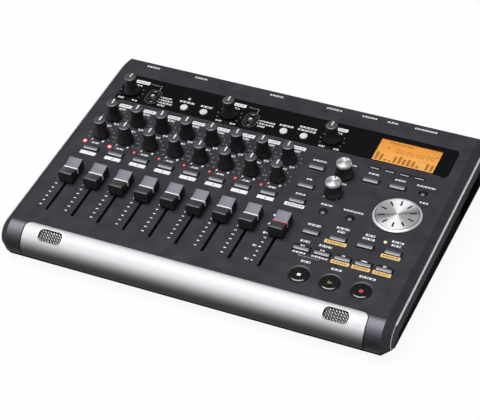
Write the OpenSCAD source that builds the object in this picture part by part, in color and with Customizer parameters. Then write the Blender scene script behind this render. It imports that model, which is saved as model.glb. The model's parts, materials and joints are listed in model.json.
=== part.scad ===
// Desktop digital multitrack recorder: wedge-shaped case, front bar, mixer panel and rear sockets.
// Frame: X to the right, Y to the rear, Z up, floor at Z = 0, origin under the middle of the object.
// Panel places are (u, v, w): u to the right, v up the slope from the panel's front edge, w out of the panel.

/* [Columns across the panel] */
// Left edge bead to the first channel column
left_margin = 24.5; // [20:0.5:40]
// Distance between channel columns
channel_pitch = 20; // [18:0.5:26]
// Last channel column to the master column
master_gap = 22; // [20:0.5:30]
// Master column to the first key column
key_gap = 21; // [20:0.5:30]
// Distance between the four key columns
key_pitch = 19.8; // [19:0.2:26]
// Last key column to the right edge bead
right_margin = 23.1; // [20:0.1:40]

/* [Rows up the panel] */
// Front edge of the panel to the front end of the fader slots
slot_front = 14.5; // [11:0.5:25]
// Rear end of the fader slots to the record-key row
rec_key_gap = 14.3; // [13:0.1:25]
// Record-key row to the pan row
pan_gap = 16.4; // [14:0.1:25]
// Pan row to the send row
send_gap = 20.6; // [18:0.1:30]
// Send row to the function-key row
function_key_gap = 13.2; // [11:0.1:20]
// Function-key row to the display strip
strip_gap = 6.4; // [4:0.1:15]
// Display strip to the rear edge of the panel
rear_margin = 17.5; // [14:0.5:40]
// Front edge of the panel to the stop, play and record buttons
transport_row = 17.2; // [12:0.1:20]
// Transport buttons to the search-key row
search_gap = 23.3; // [18:0.1:26]
// Search-key row to the locate-key row
locate_gap = 16.8; // [12:0.1:18]
// Data wheel to the menu-key row
wheel_gap = 28.3; // [27:0.1:34]

/* [Case] */
// Slope of the panel, in degrees
wedge = 3; // [0:0.5:6]
// Height of the panel's front edge above the floor
front_h = 29; // [28:0.5:36]
// Radius of the rounded nose
nose_r = 15; // [14:0.5:20]
// Thickness of the case walls
wall = 2.2; // [1.8:0.1:2.8]
// Thickness of the panel
panel_t = 2.4; // [2:0.1:3]
// Thickness of the floor
floor_t = 2; // [1.6:0.1:3]
// Width of the bevel along each side edge
bevel_w = 6; // [3:0.5:8]
// Drop of the bevel along each side edge
bevel_h = 5; // [3:0.5:7]
// Depth of the upper case's skirt below the panel
skirt_h = 17; // [14:0.5:19]
// Size of the bevel along the rear edge
rear_bevel = 2.5; // [1:0.1:4]
// Plan radius of the rear corners
rear_corner_r = 9; // [5:0.5:10]
// How far the lower case stands inside the upper one
step_in = 1; // [0.4:0.1:1.6]
// Height of the rubber feet
foot_h = 2; // [1.5:0.1:4]
// Diameter of the rubber feet
foot_d = 13; // [8:0.5:18]
// Clearance between pieces that are fitted together
fit = 0.2; // [0.1:0.05:0.4]

/* [Front bar] */
// Length of the aluminium bar
bar_w = 254; // [230:1:264]
// Thickness of the bar
bar_t = 2; // [1.5:0.1:2.5]
// How far the bar reaches below the panel
bar_drop = 20; // [18:0.5:24.5]
// Radius of the bar's upper corners
bar_corner_r = 5; // [2:0.5:8]
// Open seam between the bar's ends and the case
bar_end_seam = 0.9; // [0.2:0.1:1.5]
// Open seam between the bar's rear edge and the panel
bar_rear_seam = 0.3; // [0.2:0.1:0.8]
// End of the bar to the middle of each microphone slot
mic_end = 21; // [17:0.5:45]
// Tilt of the microphone slots forward from the panel's normal, in degrees
mic_tilt = 29; // [22:1:40]
// Length of a microphone slot
mic_slot_l = 18.5; // [12:0.5:24]
// Height of a microphone slot
mic_slot_h = 9; // [6:0.2:10]
// Diameter of a microphone capsule
capsule_d = 9; // [6:0.2:10]

/* [Knobs] */
// Base diameter of the small knobs
knob_base_d = 12.2; // [10:0.2:14]
// Top diameter of the small knobs
knob_top_d = 8.6; // [7:0.2:10]
// Height of the small knobs above the panel
knob_h = 14.2; // [10:0.2:18]
// Base diameter of the tone knobs
tone_base_d = 14; // [12:0.2:16]
// Top diameter of the tone knobs
tone_top_d = 10.8; // [9:0.2:13]
// Height of the tone knobs above the panel
tone_h = 12.3; // [9:0.1:16]
// Diameter of the knob shafts
shaft_d = 6; // [4:0.1:6.4]
// Running clearance of a shaft in its bush, on the radius
shaft_fit = 0.08; // [0.04:0.01:0.1]
// Outer diameter of the data wheel
wheel_d = 34.8; // [28:0.2:38]
// Diameter of the wheel's flat face
wheel_face_d = 30.4; // [22:0.2:34]
// Height of the wheel above the panel
wheel_h = 2.2; // [1.8:0.1:6]
// Gap under the knobs and the wheel
knob_gap = 0.6; // [0.4:0.1:0.9]

/* [Faders] */
// Travel of a fader
fader_travel = 45; // [38:1:55]
// Distance from the rear stop to the place where the faders stand
fader_rest = 11.2; // [5:0.1:30]
// Width of a fader cap
cap_w = 10.8; // [8:0.2:14]
// Length of a fader cap
cap_l = 19.5; // [15:0.5:22]
// Height of a fader cap's rear edge above the panel
cap_h = 8.8; // [7:0.1:12]
// Depth of the finger valley across the cap
cap_valley = 1.7; // [1:0.1:4]
// Width of the slot in the panel
slot_w = 2.3; // [2:0.1:3]
// Thickness of the lever in the slot
lever_t = 1.5; // [1:0.1:1.6]
// Length of the lever along the slot
lever_l = 7; // [5:0.5:9]
// Free length at each end of the slot
slot_end = 1.5; // [1:0.1:3]

/* [Keys] */
// Width of the record, menu and locate keys
key_w = 12; // [9:0.2:13]
// Depth of the record, menu and locate keys
key_d = 5; // [4:0.1:6]
// Height of the keys above the panel
key_h = 1.8; // [1:0.1:3]
// Width of the function keys
function_key_w = 7.8; // [6:0.1:9]
// Depth of the function keys
function_key_d = 2.6; // [2:0.1:4]
// Distance between the function keys
function_key_pitch = 11.1; // [10.6:0.1:13]
// Diameter of the small round keys
round_key_d = 6; // [4:0.1:8]
// Diameter of the input buttons on the strip
input_button_d = 5.7; // [4:0.1:8]
// Height of the input buttons above the strip
input_button_h = 0.9; // [0.6:0.1:2]
// Diameter of the stop, play and record buttons
transport_d = 13.7; // [10:0.1:16]
// Diameter of the countersunk ring round those buttons
ring_d = 16.6; // [16.4:0.1:19]
// Depth of that ring
ring_h = 0.3; // [0.2:0.1:0.8]
// Distance between those buttons
transport_pitch = 22.1; // [20:0.1:26]
// Side clearance of a key in its hole
key_fit = 0.3; // [0.2:0.05:0.5]
// Travel of a key
key_travel = 0.5; // [0.2:0.05:0.6]

/* [Display] */
// Depth of the gloss strip up the panel
strip_d = 30.6; // [28:0.1:40]
// Thickness of the gloss strip
strip_t = 0.8; // [0.5:0.1:1.2]
// Space between the strip's ends and the edge beads
strip_inset = 14; // [11:0.5:20]
// Corner radius of the strip
strip_corner_r = 4; // [1:0.5:8]
// Width of the display window
lcd_w = 46.2; // [36:0.2:50]
// Depth of the display window
lcd_d = 24.2; // [18:0.2:25]
// How far the display lies right of the middle of the key columns
lcd_shift = 4.6; // [-4:0.1:8]
// Rim of the display glass behind the strip
lcd_rim = 1; // [0.5:0.1:1.5]
// Front edge of the strip to the trim knobs
trim_up = 12.1; // [10:0.1:14]
// Front edge of the strip to the input buttons
button_up = 8.3; // [5:0.1:9.5]
// Travel of a mode switch to each side
mode_travel = 3; // [1:0.1:3.5]

/* [Rear sockets] */
// Height of the socket axes above the floor
socket_z = 18.5; // [16.5:0.5:19]
// Left side of the case to the footswitch jack
jack_edge = 25; // [22:0.5:40]
// Footswitch jack to the first microphone socket
input_gap = 28; // [24:0.5:34]
// Microphone socket to the jack of the same input
mic_jack_gap = 26; // [22:0.5:30]
// Distance between the two inputs
input_pitch = 61; // [52:0.5:64]
// Second input jack to the first phono socket
line_gap = 27.5; // [16:0.5:30]
// Distance between the phono sockets
phono_pitch = 15; // [13:0.5:18]
// Second phono socket to the headphone jack
phones_gap = 20.1; // [15:0.1:26]
// Headphone jack to the power inlet
inlet_gap = 18.1; // [15:0.1:24]
// Power inlet to the power switch
power_gap = 25.3; // [18:0.1:28]
// Bore of the headphone and line jacks
jack_bore_d = 6.4; // [6.35:0.05:6.6]
// How far the phono sockets stand out of the rear wall
phono_out = 9; // [5:0.5:12]
// Travel of the power switch
power_travel = 4; // [2:0.2:5]

/* [Card bay] */
// Front end of the bay, from the panel's front edge
bay_v = 135; // [125:1:136]
// Depth of the bay in the side wall
bay_depth = 5; // [4:0.5:8]
// Length of the card door
door_l = 28; // [26:0.5:29]
// Height of the card door
door_h = 10.6; // [9.6:0.2:11]
// Thickness of the card door
door_t = 1.6; // [1.2:0.1:2]
// Length of the data port's place beside the door
port_place = 12; // [11:0.5:14]

/* [Inside] */
// Panel face to the upper side of the main board
board_drop = 9; // [8.6:0.1:10]
// Thickness of the main board
board_t = 1.6; // [1:0.1:2.4]
// Diameter of the indicator lamps
lamp_d = 2.2; // [1.6:0.1:3]
// Diameter of the case screws
screw_d = 2.8; // [2:0.1:3]

/* [Hidden] */
$fn = 64;
channels = 8;
far = 400;

// Widths and columns
body_w = left_margin + (channels - 1) * channel_pitch + master_gap + key_gap + 3 * key_pitch + right_margin;
half_w = body_w / 2;
first_u = left_margin - half_w;
master_u = first_u + (channels - 1) * channel_pitch + master_gap;
keys_u = master_u + key_gap;
keys_mid_u = keys_u + 1.5 * key_pitch;
lcd_u = keys_mid_u + lcd_shift;
function channel_u(i) = i < channels ? first_u + i * channel_pitch : master_u;
function key_u(k) = keys_u + k * key_pitch;

// Rows and depths
slot_l = fader_travel + lever_l + 2 * slot_end;
slot_rear = slot_front + slot_l;
fader_v = slot_rear - slot_end - lever_l / 2 - fader_rest;
rec_row = slot_rear + rec_key_gap;
pan_row = rec_row + pan_gap;
send_row = pan_row + send_gap;
function_row = send_row + function_key_gap;
strip_v = function_row + strip_gap;
trim_row = strip_v + trim_up;
button_row = strip_v + button_up;
lcd_v = strip_v + strip_d / 2 - 1.2;
panel_d = strip_v + strip_d + rear_margin;
search_row = transport_row + search_gap;
locate_row = search_row + locate_gap;
wheel_row = send_row - wheel_gap;
wheel_u = key_u(2.5);
tuner_row = wheel_row - 12.9;
board_rear = trim_row + 8.5;

// The object's frame
nose_reach = nose_r * (1 - sin(wedge));
rear_reach = (panel_d + rear_bevel) * cos(wedge) + rear_bevel * sin(wedge);
total_d = nose_reach + rear_reach + phono_out;
front_y = -total_d / 2;
panel_y = front_y + nose_reach;
rear_y = panel_y + rear_reach;
function floor_w(v, z) = (z - front_h - v * sin(wedge)) / cos(wedge);

// Joints between the cases
nose_join = 4;
rear_lip = rear_bevel + 3.5;
rear_plate = half_w - rear_corner_r - wall;
mic_place = bar_w / 2 - mic_end;

// Levels under the panel, from key flange to switch
flange_t = 0.8;
flange_w = 1;
flange_top = -panel_t - 0.3;
plunger_low = flange_top - flange_t - 0.8;
switch_top = plunger_low - key_travel - 0.2;
switch_body = 6;
switch_body_top = switch_top - 1.2;
bush_wall = 0.6;
bush_r = shaft_d / 2 + shaft_fit + bush_wall;
pot_size = 10;
pot_top = -panel_t - 2.2;
shaft_end = 0.6;
track_w = 9;
track_top = -panel_t - 2;
track_end = 3;
lever_side = 0.3;

// Screw posts: two beside each edge and two beside the master strip
post_edge = 11;
post_row_1 = slot_front + 14.5;
post_row_2 = bay_v - 10;
post_mid = (channel_u(channels - 1) + master_u) / 2;
POSTS = [for (u = [-half_w + post_edge, post_mid, half_w - post_edge], v = [post_row_1, post_row_2]) [u, v]];
post_r = 4.6;
boss_r = 3.2;
screw_play = 0.1;
head_d = 5.6;
head_h = 1.8;
head_sunk = 1.2;
FEET = [for (x = [-half_w + 30, half_w - 30], y = [panel_y + 16, rear_y - 24]) [x, y]];

// Rear sockets: places along the rear wall
foot_jack_u = -half_w + jack_edge;
input_u = foot_jack_u + input_gap;
MIC_SOCKETS = [input_u, input_u + input_pitch];
line_u = MIC_SOCKETS[1] + mic_jack_gap + line_gap;
PHONOS = [line_u, line_u + phono_pitch];
phones_u = PHONOS[1] + phones_gap;
JACKS = [foot_jack_u, MIC_SOCKETS[0] + mic_jack_gap, MIC_SOCKETS[1] + mic_jack_gap, phones_u];
dc_u = phones_u + inlet_gap;
power_u = dc_u + power_gap;
jack_body = [14, 20, 13];
bush_outer_r = 4.6;
nut_r = 6.6;
nut_t = 2.2;
jack_out = 3.6;
mic_flange = [25, 2, 26];
mic_body_r = 10.8;
mic_body_d = 20;
mic_ring_r = 9.6;
mic_core_r = 7.8;
mic_ring_d = 13;
mic_pin_d = 2.6;
mic_pin_depth = 10;
mic_pin_circle = 4.2;
insert_gap = 0.1;
phono_r = 4.2;
phono_bore_r = 1.6;
phono_body = [11, 14];
inlet_body = [11, 12];
socket_body_d = 12;
dc_r = 4.4;
dc_bore_r = 2.9;
dc_pin_r = 1;
dc_depth = 8;
inlet_out = 1.2;
slider = [4, 3.6];
slider_out = 3;
slider_in = 3.4;
slider_play = 0.3;
power_body = [16, 9, 10];

// Card bay
bay_y = panel_y + bay_v;
bay_low = foot_h + floor_t + 0.5;
bay_back = half_w - step_in - bay_depth;
bay_l = door_l + 2 * fit + wall + port_place;
door_pin_r = 0.8;
door_barrel_r = 1.2;
door_x = bay_back + fit + door_barrel_r;
door_z = bay_low + 2.1;
door_y = bay_y + fit;
port_y = bay_y + door_l + 2 * fit + wall;
card_size = [28, 26, 5];
card_slot = [24.6, 2.5];
port_size = [10, 9, 5];
port_slot = [8, 3];

// Knob places: [column, row]
SENDS = [for (i = [0 : channels - 1]) [channel_u(i), send_row]];
PANS = [for (i = [0 : channels - 1]) [channel_u(i), pan_row]];
TRIMS = [[channel_u(0) - 1, trim_row], [channel_u(4) - 0.7, trim_row]];
PHONES = [master_u - 1, trim_row - 0.8];
TONES = [[keys_u, send_row - 1.2], [keys_u, pan_row - 1.5]];
WHEEL = [wheel_u, wheel_row];
POTS = concat(SENDS, PANS, TRIMS, [PHONES], TONES, [WHEEL]);

// Key places
REC_KEYS = [for (i = [0 : channels - 1]) [channel_u(i), rec_row]];
MIXER_KEYS = [[master_u, send_row - 0.6], [master_u, pan_row - 0.6], [master_u, rec_row - 0.6],
    [key_u(1), send_row - 0.6], [key_u(2), send_row - 0.6]];
LOCATE_KEYS = concat([for (k = [0 : 3]) [key_u(k), locate_row]],
    [for (k = [0 : 4]) [keys_u + k * 3 * key_pitch / 4, search_row]]);
FUNCTION_KEYS = [for (k = [-1.5 : 1 : 1.5]) [lcd_u + k * function_key_pitch, function_row]];
ROUND_KEYS = [[key_u(3) - 1, send_row - 0.4], [keys_u, tuner_row], [key_u(1), tuner_row]];
input_button_shift = 4.1;
INPUT_BUTTONS = [for (i = [2, 6]) each [[channel_u(i) + input_button_shift, button_row],
    [channel_u(i + 1), button_row]]];
TRANSPORT = [for (k = [-1 : 1]) [keys_mid_u + k * transport_pitch, transport_row]];
MODES = [[channel_u(1) - 3.1, trim_row], [channel_u(5) - 3.4, trim_row]];
SWITCHED = concat(REC_KEYS, MIXER_KEYS, LOCATE_KEYS, FUNCTION_KEYS, ROUND_KEYS, INPUT_BUTTONS, TRANSPORT);
LAMPS = concat([for (i = [0 : channels - 1]) [channel_u(i) - 8.3, rec_row + 6.2]],
    [[key_u(3) - 8.6, locate_row + 8.2], [INPUT_BUTTONS[0][0], strip_v + 18.4]]);
mode_lever = [3, 3.2];
mode_foot = 1;
mode_foot_size = [6, 7];
mode_foot_play = 0.2;
mode_top = 1.6;

FADER_NODES = [for (i = [0 : channels]) i < channels ? str("fader_", i + 1) : "fader_master"];
SEND_NODES = [for (i = [1 : channels]) str("send_knob_", i)];
PAN_NODES = [for (i = [1 : channels]) str("pan_knob_", i)];
TRIM_NODES = ["trim_knob_a", "trim_knob_b"];
TONE_NODES = ["high_knob", "low_knob"];
MODE_NODES = ["mode_switch_a", "mode_switch_b"];
TRANSPORT_NODES = ["stop_button", "play_button", "record_button"];

// Helpers

module on_panel() {
    translate([0, panel_y, front_h]) rotate([wedge, 0, 0]) children();
}

module at(p, w = 0) {
    on_panel() translate([p[0], p[1], w]) children();
}

// A solid along u whose end view, in (v, w), is the child
module along_u(half) {
    translate([-half, 0, 0]) rotate([90, 0, 90]) linear_extrude(2 * half) children();
}

// A solid along v whose end view, in (u, w), is the child
module along_v(from, to) {
    translate([0, to, 0]) rotate([90, 0, 0]) linear_extrude(to - from) children();
}

module round_bar(half, r) {
    translate([-half, 0, -nose_r]) rotate([0, 90, 0]) cylinder(r = r, h = 2 * half);
}

// The rounded nose: a bar whose ends are bevelled like the panel's side edges
module nose(side_inset, r) {
    flat = half_w - side_inset - bevel_w;
    round_bar(flat, r);
    for (s = [0, 1]) mirror([s, 0, 0]) translate([flat, 0, -nose_r]) rotate([0, 90, 0])
        cylinder(r1 = r, r2 = r - bevel_h, h = bevel_w);
}

module rounded_rect(w, d, r) {
    square([w - 2 * r, d], center = true);
    square([w, d - 2 * r], center = true);
    for (x = [-1, 1], y = [-1, 1]) translate([x * (w / 2 - r), y * (d / 2 - r)]) circle(r);
}

// Plan of the case, with two rounded rear corners
module plan(half, front, rear, rear_r) {
    translate([-half, front]) square([2 * half, rear - front - rear_r]);
    translate([-half + rear_r, front]) square([2 * (half - rear_r), rear - front]);
    for (s = [-1, 1]) translate([s * (half - rear_r), rear - rear_r]) circle(rear_r);
}

module plan_block(side_inset, rear_inset) {
    linear_extrude(far)
        plan(half_w - side_inset, front_y, rear_y - rear_inset, max(rear_corner_r - side_inset, 0.5));
}

// Everything below the panel level w, in the panel's frame
module below(w, v_from = -far, v_to = far) {
    translate([-far, v_from, w - far]) cube([2 * far, v_to - v_from, far]);
}

// Hole for a rectangular key, or for a round one
module key_hole(w, d) {
    translate([0, 0, -panel_t - 1]) linear_extrude(panel_t + 2)
        square([w + 2 * key_fit, d + 2 * key_fit], center = true);
}

module round_hole(d) {
    translate([0, 0, -panel_t - 1]) cylinder(d = d, h = panel_t + 2);
}

// Upper case

module top_outer() {
    intersection() {
        plan_block(0, 0);
        on_panel() along_v(-far, far) polygon([[-half_w + bevel_w, 0], [half_w - bevel_w, 0],
            [half_w, -bevel_h], [half_w, -far], [-half_w, -far], [-half_w, -bevel_h]]);
        on_panel() union() {
            along_u(half_w) polygon([[0, 0], [panel_d, 0], [panel_d + skirt_h, -skirt_h], [0, -skirt_h]]);
            intersection() {
                nose(0, nose_r);
                translate([-half_w, -nose_r, -bar_drop]) cube([body_w, nose_r + nose_join, bar_drop]);
            }
        }
    }
}

module top_inside() {
    inner_half = half_w - wall;
    roof_half = half_w - bevel_w - 1.5;
    intersection() {
        plan_block(wall, wall);
        on_panel() along_v(nose_join, far) polygon([[-roof_half, -panel_t], [roof_half, -panel_t],
            [inner_half, -bevel_h - wall], [inner_half, -far], [-inner_half, -far],
            [-inner_half, -bevel_h - wall]]);
    }
    on_panel() round_bar(half_w - bevel_w, nose_r - bar_t - wall);
    on_panel() translate([-rear_plate - fit, panel_d - wall, -far])
        cube([2 * (rear_plate + fit), far, far - rear_lip]);
}

// Space of the front bar, grown at its ends, rear edge and lower edge; the bar itself is the part inside the nose
module bar_blank(end, rear, low) {
    difference() {
        translate([0, -nose_r / 2 + rear / 2, -bar_drop - low]) linear_extrude(bar_drop + low + 1)
            rounded_rect(bar_w + 2 * end, nose_r + rear, bar_corner_r + end);
        round_bar(bar_w, nose_r - bar_t);
    }
    front_part = nose_r / 2;
    difference() {
        translate([-bar_w / 2 - end, -nose_r - 1, -bar_drop - low])
            cube([bar_w + 2 * end, front_part + 1, bar_drop + low + 1]);
        round_bar(bar_w, nose_r - bar_t);
    }
}

// A rounded plate across a microphone slot, from the nose's axis outwards
module mic_plate(side, grow, from, to) {
    translate([side * mic_place, 0, -nose_r]) rotate([mic_tilt, 0, 0]) translate([0, 0, from])
        linear_extrude(to - from)
            rounded_rect(mic_slot_l + 2 * grow, mic_slot_h + 2 * grow, 0.42 * mic_slot_h);
}

module panel_holes() {
    for (p = POTS) at(p) round_hole(shaft_d + 1);
    for (i = [0 : channels]) at([channel_u(i), slot_front + slot_l / 2])
        translate([0, 0, -panel_t - 1]) linear_extrude(panel_t + 2) square([slot_w, slot_l], center = true);
    for (p = concat(REC_KEYS, MIXER_KEYS, LOCATE_KEYS)) at(p) key_hole(key_w, key_d);
    for (p = FUNCTION_KEYS) at(p) key_hole(function_key_w, function_key_d);
    for (p = ROUND_KEYS) at(p) round_hole(round_key_d + 2 * key_fit);
    for (p = TRANSPORT) at(p) {
        round_hole(transport_d + 2 * key_fit);
        translate([0, 0, -ring_h]) cylinder(d1 = transport_d + 2 * key_fit, d2 = ring_d, h = ring_h);
        cylinder(d = ring_d, h = 1);
    }
    for (p = LAMPS) at(p) round_hole(lamp_d + 2 * fit);
    strip_holes();
}

// Holes that go through the display strip and the panel under it
module strip_holes() {
    for (p = INPUT_BUTTONS) at(p) round_hole(input_button_d + 2 * key_fit);
    for (p = MODES) at(p) translate([0, 0, -panel_t - 1]) linear_extrude(panel_t + 2)
        square([mode_lever[0] + 2 * key_fit, mode_lever[1] + 2 * (mode_travel + key_fit)], center = true);
    for (p = concat(TRIMS, [PHONES])) at(p) round_hole(shaft_d + 1);
    at(LAMPS[channels + 1]) round_hole(lamp_d + 2 * fit);
}

module strip_block(gap, from, to) {
    at([0, strip_v + strip_d / 2], from) linear_extrude(to - from)
        rounded_rect(2 * (half_w - strip_inset + gap), strip_d + 2 * gap, strip_corner_r);
}

module top_case() {
    color("#303036") difference() {
        union() {
            difference() {
                top_outer();
                top_inside();
            }
            for (p = POSTS) at(p, -board_drop) cylinder(r = boss_r, h = board_drop - panel_t / 2);
            intersection() {
                top_outer();
                translate([bay_back - wall, bay_y - wall, 0]) cube([half_w - bay_back, bay_l + 2 * wall, far]);
                on_panel() translate([0, 0, -skirt_h]) cube([half_w, far, wall]);
            }
        }
        panel_holes();
        strip_block(fit, -strip_t, 1);
        at([lcd_u, lcd_v], -panel_t - 1) linear_extrude(panel_t + 2)
            square([lcd_w + 2 * (lcd_rim + fit), lcd_d + 2 * (lcd_rim + fit)], center = true);
        on_panel() bar_blank(bar_end_seam, bar_rear_seam, fit);
        for (s = [-1, 1]) on_panel() mic_plate(s, 1 + fit, mic_slot_h / 2, nose_r);
        for (p = POSTS) at(p, -board_drop - 1) cylinder(d = screw_d + 2 * screw_play, h = 5.5);
    }
}

module front_bar() {
    color("silver") difference() {
        intersection() {
            on_panel() bar_blank(0, 0, 0);
            on_panel() round_bar(bar_w / 2, nose_r);
        }
        for (s = [-1, 1]) on_panel() mic_plate(s, 0, mic_slot_h / 2, nose_r + 1);
    }
}

// Woven grille plate behind each slot, with the capsule behind it
module microphones() {
    plate_t = 0.6;
    plate_grow = 1;
    half_h = mic_slot_h / 2 + plate_grow;
    plate_top = sqrt(pow(nose_r - bar_t, 2) - half_h * half_h) - 0.1;
    capsule_l = 5;
    color("dimgray") for (s = [-1, 1]) {
        on_panel() mic_plate(s, plate_grow, plate_top - plate_t, plate_top);
        on_panel() translate([s * mic_place, 0, -nose_r]) rotate([mic_tilt, 0, 0])
            translate([0, 0, plate_top - plate_t - fit - capsule_l]) cylinder(d = capsule_d, h = capsule_l);
    }
}

module display_strip() {
    color("#0b0b0d") difference() {
        strip_block(0, -strip_t, 0);
        strip_holes();
        at([lcd_u, lcd_v], -2) linear_extrude(4) square([lcd_w, lcd_d], center = true);
    }
}

// Display glass under the strip's window, on a frame that stands on the main board
module lcd_module() {
    glass_t = 3;
    frame_d = 0.7 * lcd_d;
    color("orange") {
        at([lcd_u, lcd_v], -strip_t - glass_t) linear_extrude(glass_t)
            square([lcd_w + 2 * lcd_rim, lcd_d + 2 * lcd_rim], center = true);
        at([lcd_u, trim_row - 1.5], -board_drop) linear_extrude(board_drop - strip_t - glass_t / 2)
            square([lcd_w, frame_d], center = true);
    }
}

// Lower case

module bottom_outer(inset) {
    intersection() {
        plan_block(step_in + inset, inset);
        union() {
            on_panel() below(-skirt_h, nose_join + fit);
            on_panel() below(-bar_drop - fit);
        }
        union() {
            on_panel() translate([-far, 0, -far]) cube(2 * far);
            on_panel() nose(step_in + inset, nose_r - inset);
        }
        translate([-far, -far, foot_h + (inset > 0 ? floor_t : 0)]) cube(2 * far);
    }
}

// Recess in the right wall for the card door and the data port, with its back and end walls
module bay_walls() {
    intersection() {
        translate([bay_back - wall, bay_y - wall, foot_h])
            cube([bay_depth + wall, bay_l + 2 * wall, far]);
        on_panel() below(-skirt_h);
    }
}

module bay_cuts() {
    rib_y = door_y + door_l + fit;
    difference() {
        translate([bay_back, bay_y, bay_low]) cube([far, bay_l, far]);
        translate([bay_back - 1, rib_y, 0]) cube([bay_depth - 1 + 1, wall, door_z + 3]);
    }
    translate([bay_back - far / 2, door_y + (door_l - card_size[1]) / 2 - fit, door_z + 1.6 - fit])
        cube([far / 2 + 1, card_size[1] + 2 * fit, card_size[2] + 2 * fit]);
    translate([bay_back - far / 2, port_y + (port_place - port_size[1]) / 2 - fit, door_z + 1.6 - fit])
        cube([far / 2 + 1, port_size[1] + 2 * fit, port_size[2] + 2 * fit]);
    translate([door_x, bay_y - wall + 0.5, door_z]) rotate([-90, 0, 0])
        cylinder(r = door_pin_r + shaft_fit, h = door_l + 2 * wall + 2 * fit - 1);
}

// Round or square holes in the rear wall for the sockets
module rear_cut(x, r) {
    translate([x, rear_y + 1, socket_z]) rotate([90, 0, 0]) cylinder(r = r, h = wall + 2);
}

module bottom_case() {
    color("#141416") difference() {
        union() {
            difference() {
                bottom_outer(0);
                bottom_outer(wall);
            }
            intersection() {
                translate([-rear_plate, rear_y - wall, foot_h]) cube([2 * rear_plate, wall, far]);
                on_panel() below(-rear_lip - fit);
            }
            intersection() {
                for (p = POSTS) at(p, -far) cylinder(r = post_r, h = far - board_drop - board_t);
                translate([-far, -far, foot_h]) cube(2 * far);
            }
            bay_walls();
        }
        bay_cuts();
        for (x = JACKS) rear_cut(x, bush_outer_r + fit);
        for (x = MIC_SOCKETS) rear_cut(x, mic_body_r + fit);
        for (x = PHONOS) rear_cut(x, phono_r + fit);
        rear_cut(dc_u, dc_r + fit);
        translate([power_u, rear_y - wall - 1, socket_z]) rotate([-90, 0, 0]) linear_extrude(wall + 2)
            square([slider[0] + power_travel + 2 * slider_play, slider[1] + 2 * slider_play], center = true);
        for (p = POSTS) {
            at(p, -far) cylinder(d = screw_d + 2 * fit, h = far);
            at(p, -far) cylinder(d = head_d + 2 * fit, h = far + floor_w(p[1], foot_h) + head_sunk + head_h);
        }
    }
}

module rubber_feet() {
    color("#1a1a1a") for (p = FEET) translate([p[0], p[1], 0]) cylinder(d = foot_d, h = foot_h);
}

module case_screws() {
    color("dimgray") for (p = POSTS) {
        head_low = floor_w(p[1], foot_h) + head_sunk;
        at(p, head_low) cylinder(d = head_d, h = head_h);
        at(p, head_low + head_h) cylinder(d = screw_d, h = -board_drop + 4 - head_low - head_h);
    }
}

// Inside

module main_board() {
    color("darkgreen") difference() {
        at([-half_w + wall + 5, nose_join + 2], -board_drop - board_t)
            cube([body_w - 2 * wall - 10, board_rear - nose_join - 2, board_t]);
        for (p = POSTS) at(p, -board_drop - board_t - 1) cylinder(d = screw_d + 2 * fit, h = board_t + 2);
    }
}

module rotary_pots() {
    color("gray") for (p = POTS) difference() {
        union() {
            at(p, -board_drop) linear_extrude(board_drop + pot_top) square(pot_size, center = true);
            at(p, -board_drop) cylinder(r = bush_r, h = board_drop - panel_t - fit);
        }
        at(p, -board_drop + shaft_end) cylinder(d = shaft_d + 2 * shaft_fit, h = board_drop);
    }
}

module fader_tracks() {
    color("gray") for (i = [0 : channels]) difference() {
        at([channel_u(i), slot_front + slot_l / 2], -board_drop) linear_extrude(board_drop + track_top)
            square([track_w, slot_l + 2 * track_end], center = true);
        at([channel_u(i), slot_front + slot_l / 2], -board_drop + 1) linear_extrude(board_drop)
            square([lever_t + 2 * lever_side, slot_l], center = true);
    }
}

module tact_switches() {
    color("black") {
        for (p = SWITCHED) {
            at(p, -board_drop) linear_extrude(board_drop + switch_body_top) square(switch_body, center = true);
            at(p, -board_drop) cylinder(d = 3.2, h = board_drop + switch_top);
        }
        for (p = MODES) at(p, -board_drop)
            linear_extrude(board_drop + flange_top - mode_foot - mode_foot_play) square([8, 14], center = true);
    }
}

module leds() {
    lamp_top = 0.4;
    color("red") for (p = LAMPS) at(p, -board_drop) cylinder(d = lamp_d, h = board_drop + lamp_top);
}

// Rear sockets

module out_of_rear(x, y) {
    translate([x, rear_y + y, socket_z]) rotate([-90, 0, 0]) children();
}

module phone_jacks() {
    inside = -wall - jack_body[1];
    color("#202022") for (x = JACKS) difference() {
        union() {
            out_of_rear(x, inside) linear_extrude(jack_body[1]) square([jack_body[0], jack_body[2]], center = true);
            out_of_rear(x, -wall - 1) cylinder(r = bush_outer_r, h = wall + 1 + jack_out);
            out_of_rear(x, 0) cylinder(r = nut_r, h = nut_t, $fn = 6);
        }
        out_of_rear(x, inside + 1) cylinder(d = jack_bore_d, h = far);
    }
}

// A flanged cup for the plug's sleeve, with the contact insert standing in it
module mic_sockets() {
    color("#202022") for (x = MIC_SOCKETS) {
        difference() {
            union() {
                out_of_rear(x, 0) linear_extrude(mic_flange[1]) rounded_rect(mic_flange[0], mic_flange[2], 3);
                out_of_rear(x, -wall - mic_body_d) cylinder(r = mic_body_r, h = mic_body_d + wall + 0.5);
            }
            out_of_rear(x, mic_flange[1] - mic_ring_d) cylinder(r = mic_ring_r, h = far);
        }
        difference() {
            out_of_rear(x, mic_flange[1] - mic_ring_d + insert_gap)
                cylinder(r = mic_core_r, h = mic_ring_d - insert_gap);
            for (a = [90 : 120 : 330]) out_of_rear(x, mic_flange[1] - mic_pin_depth)
                translate([mic_pin_circle * cos(a), mic_pin_circle * sin(a), 0]) cylinder(d = mic_pin_d, h = far);
        }
    }
}

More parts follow.
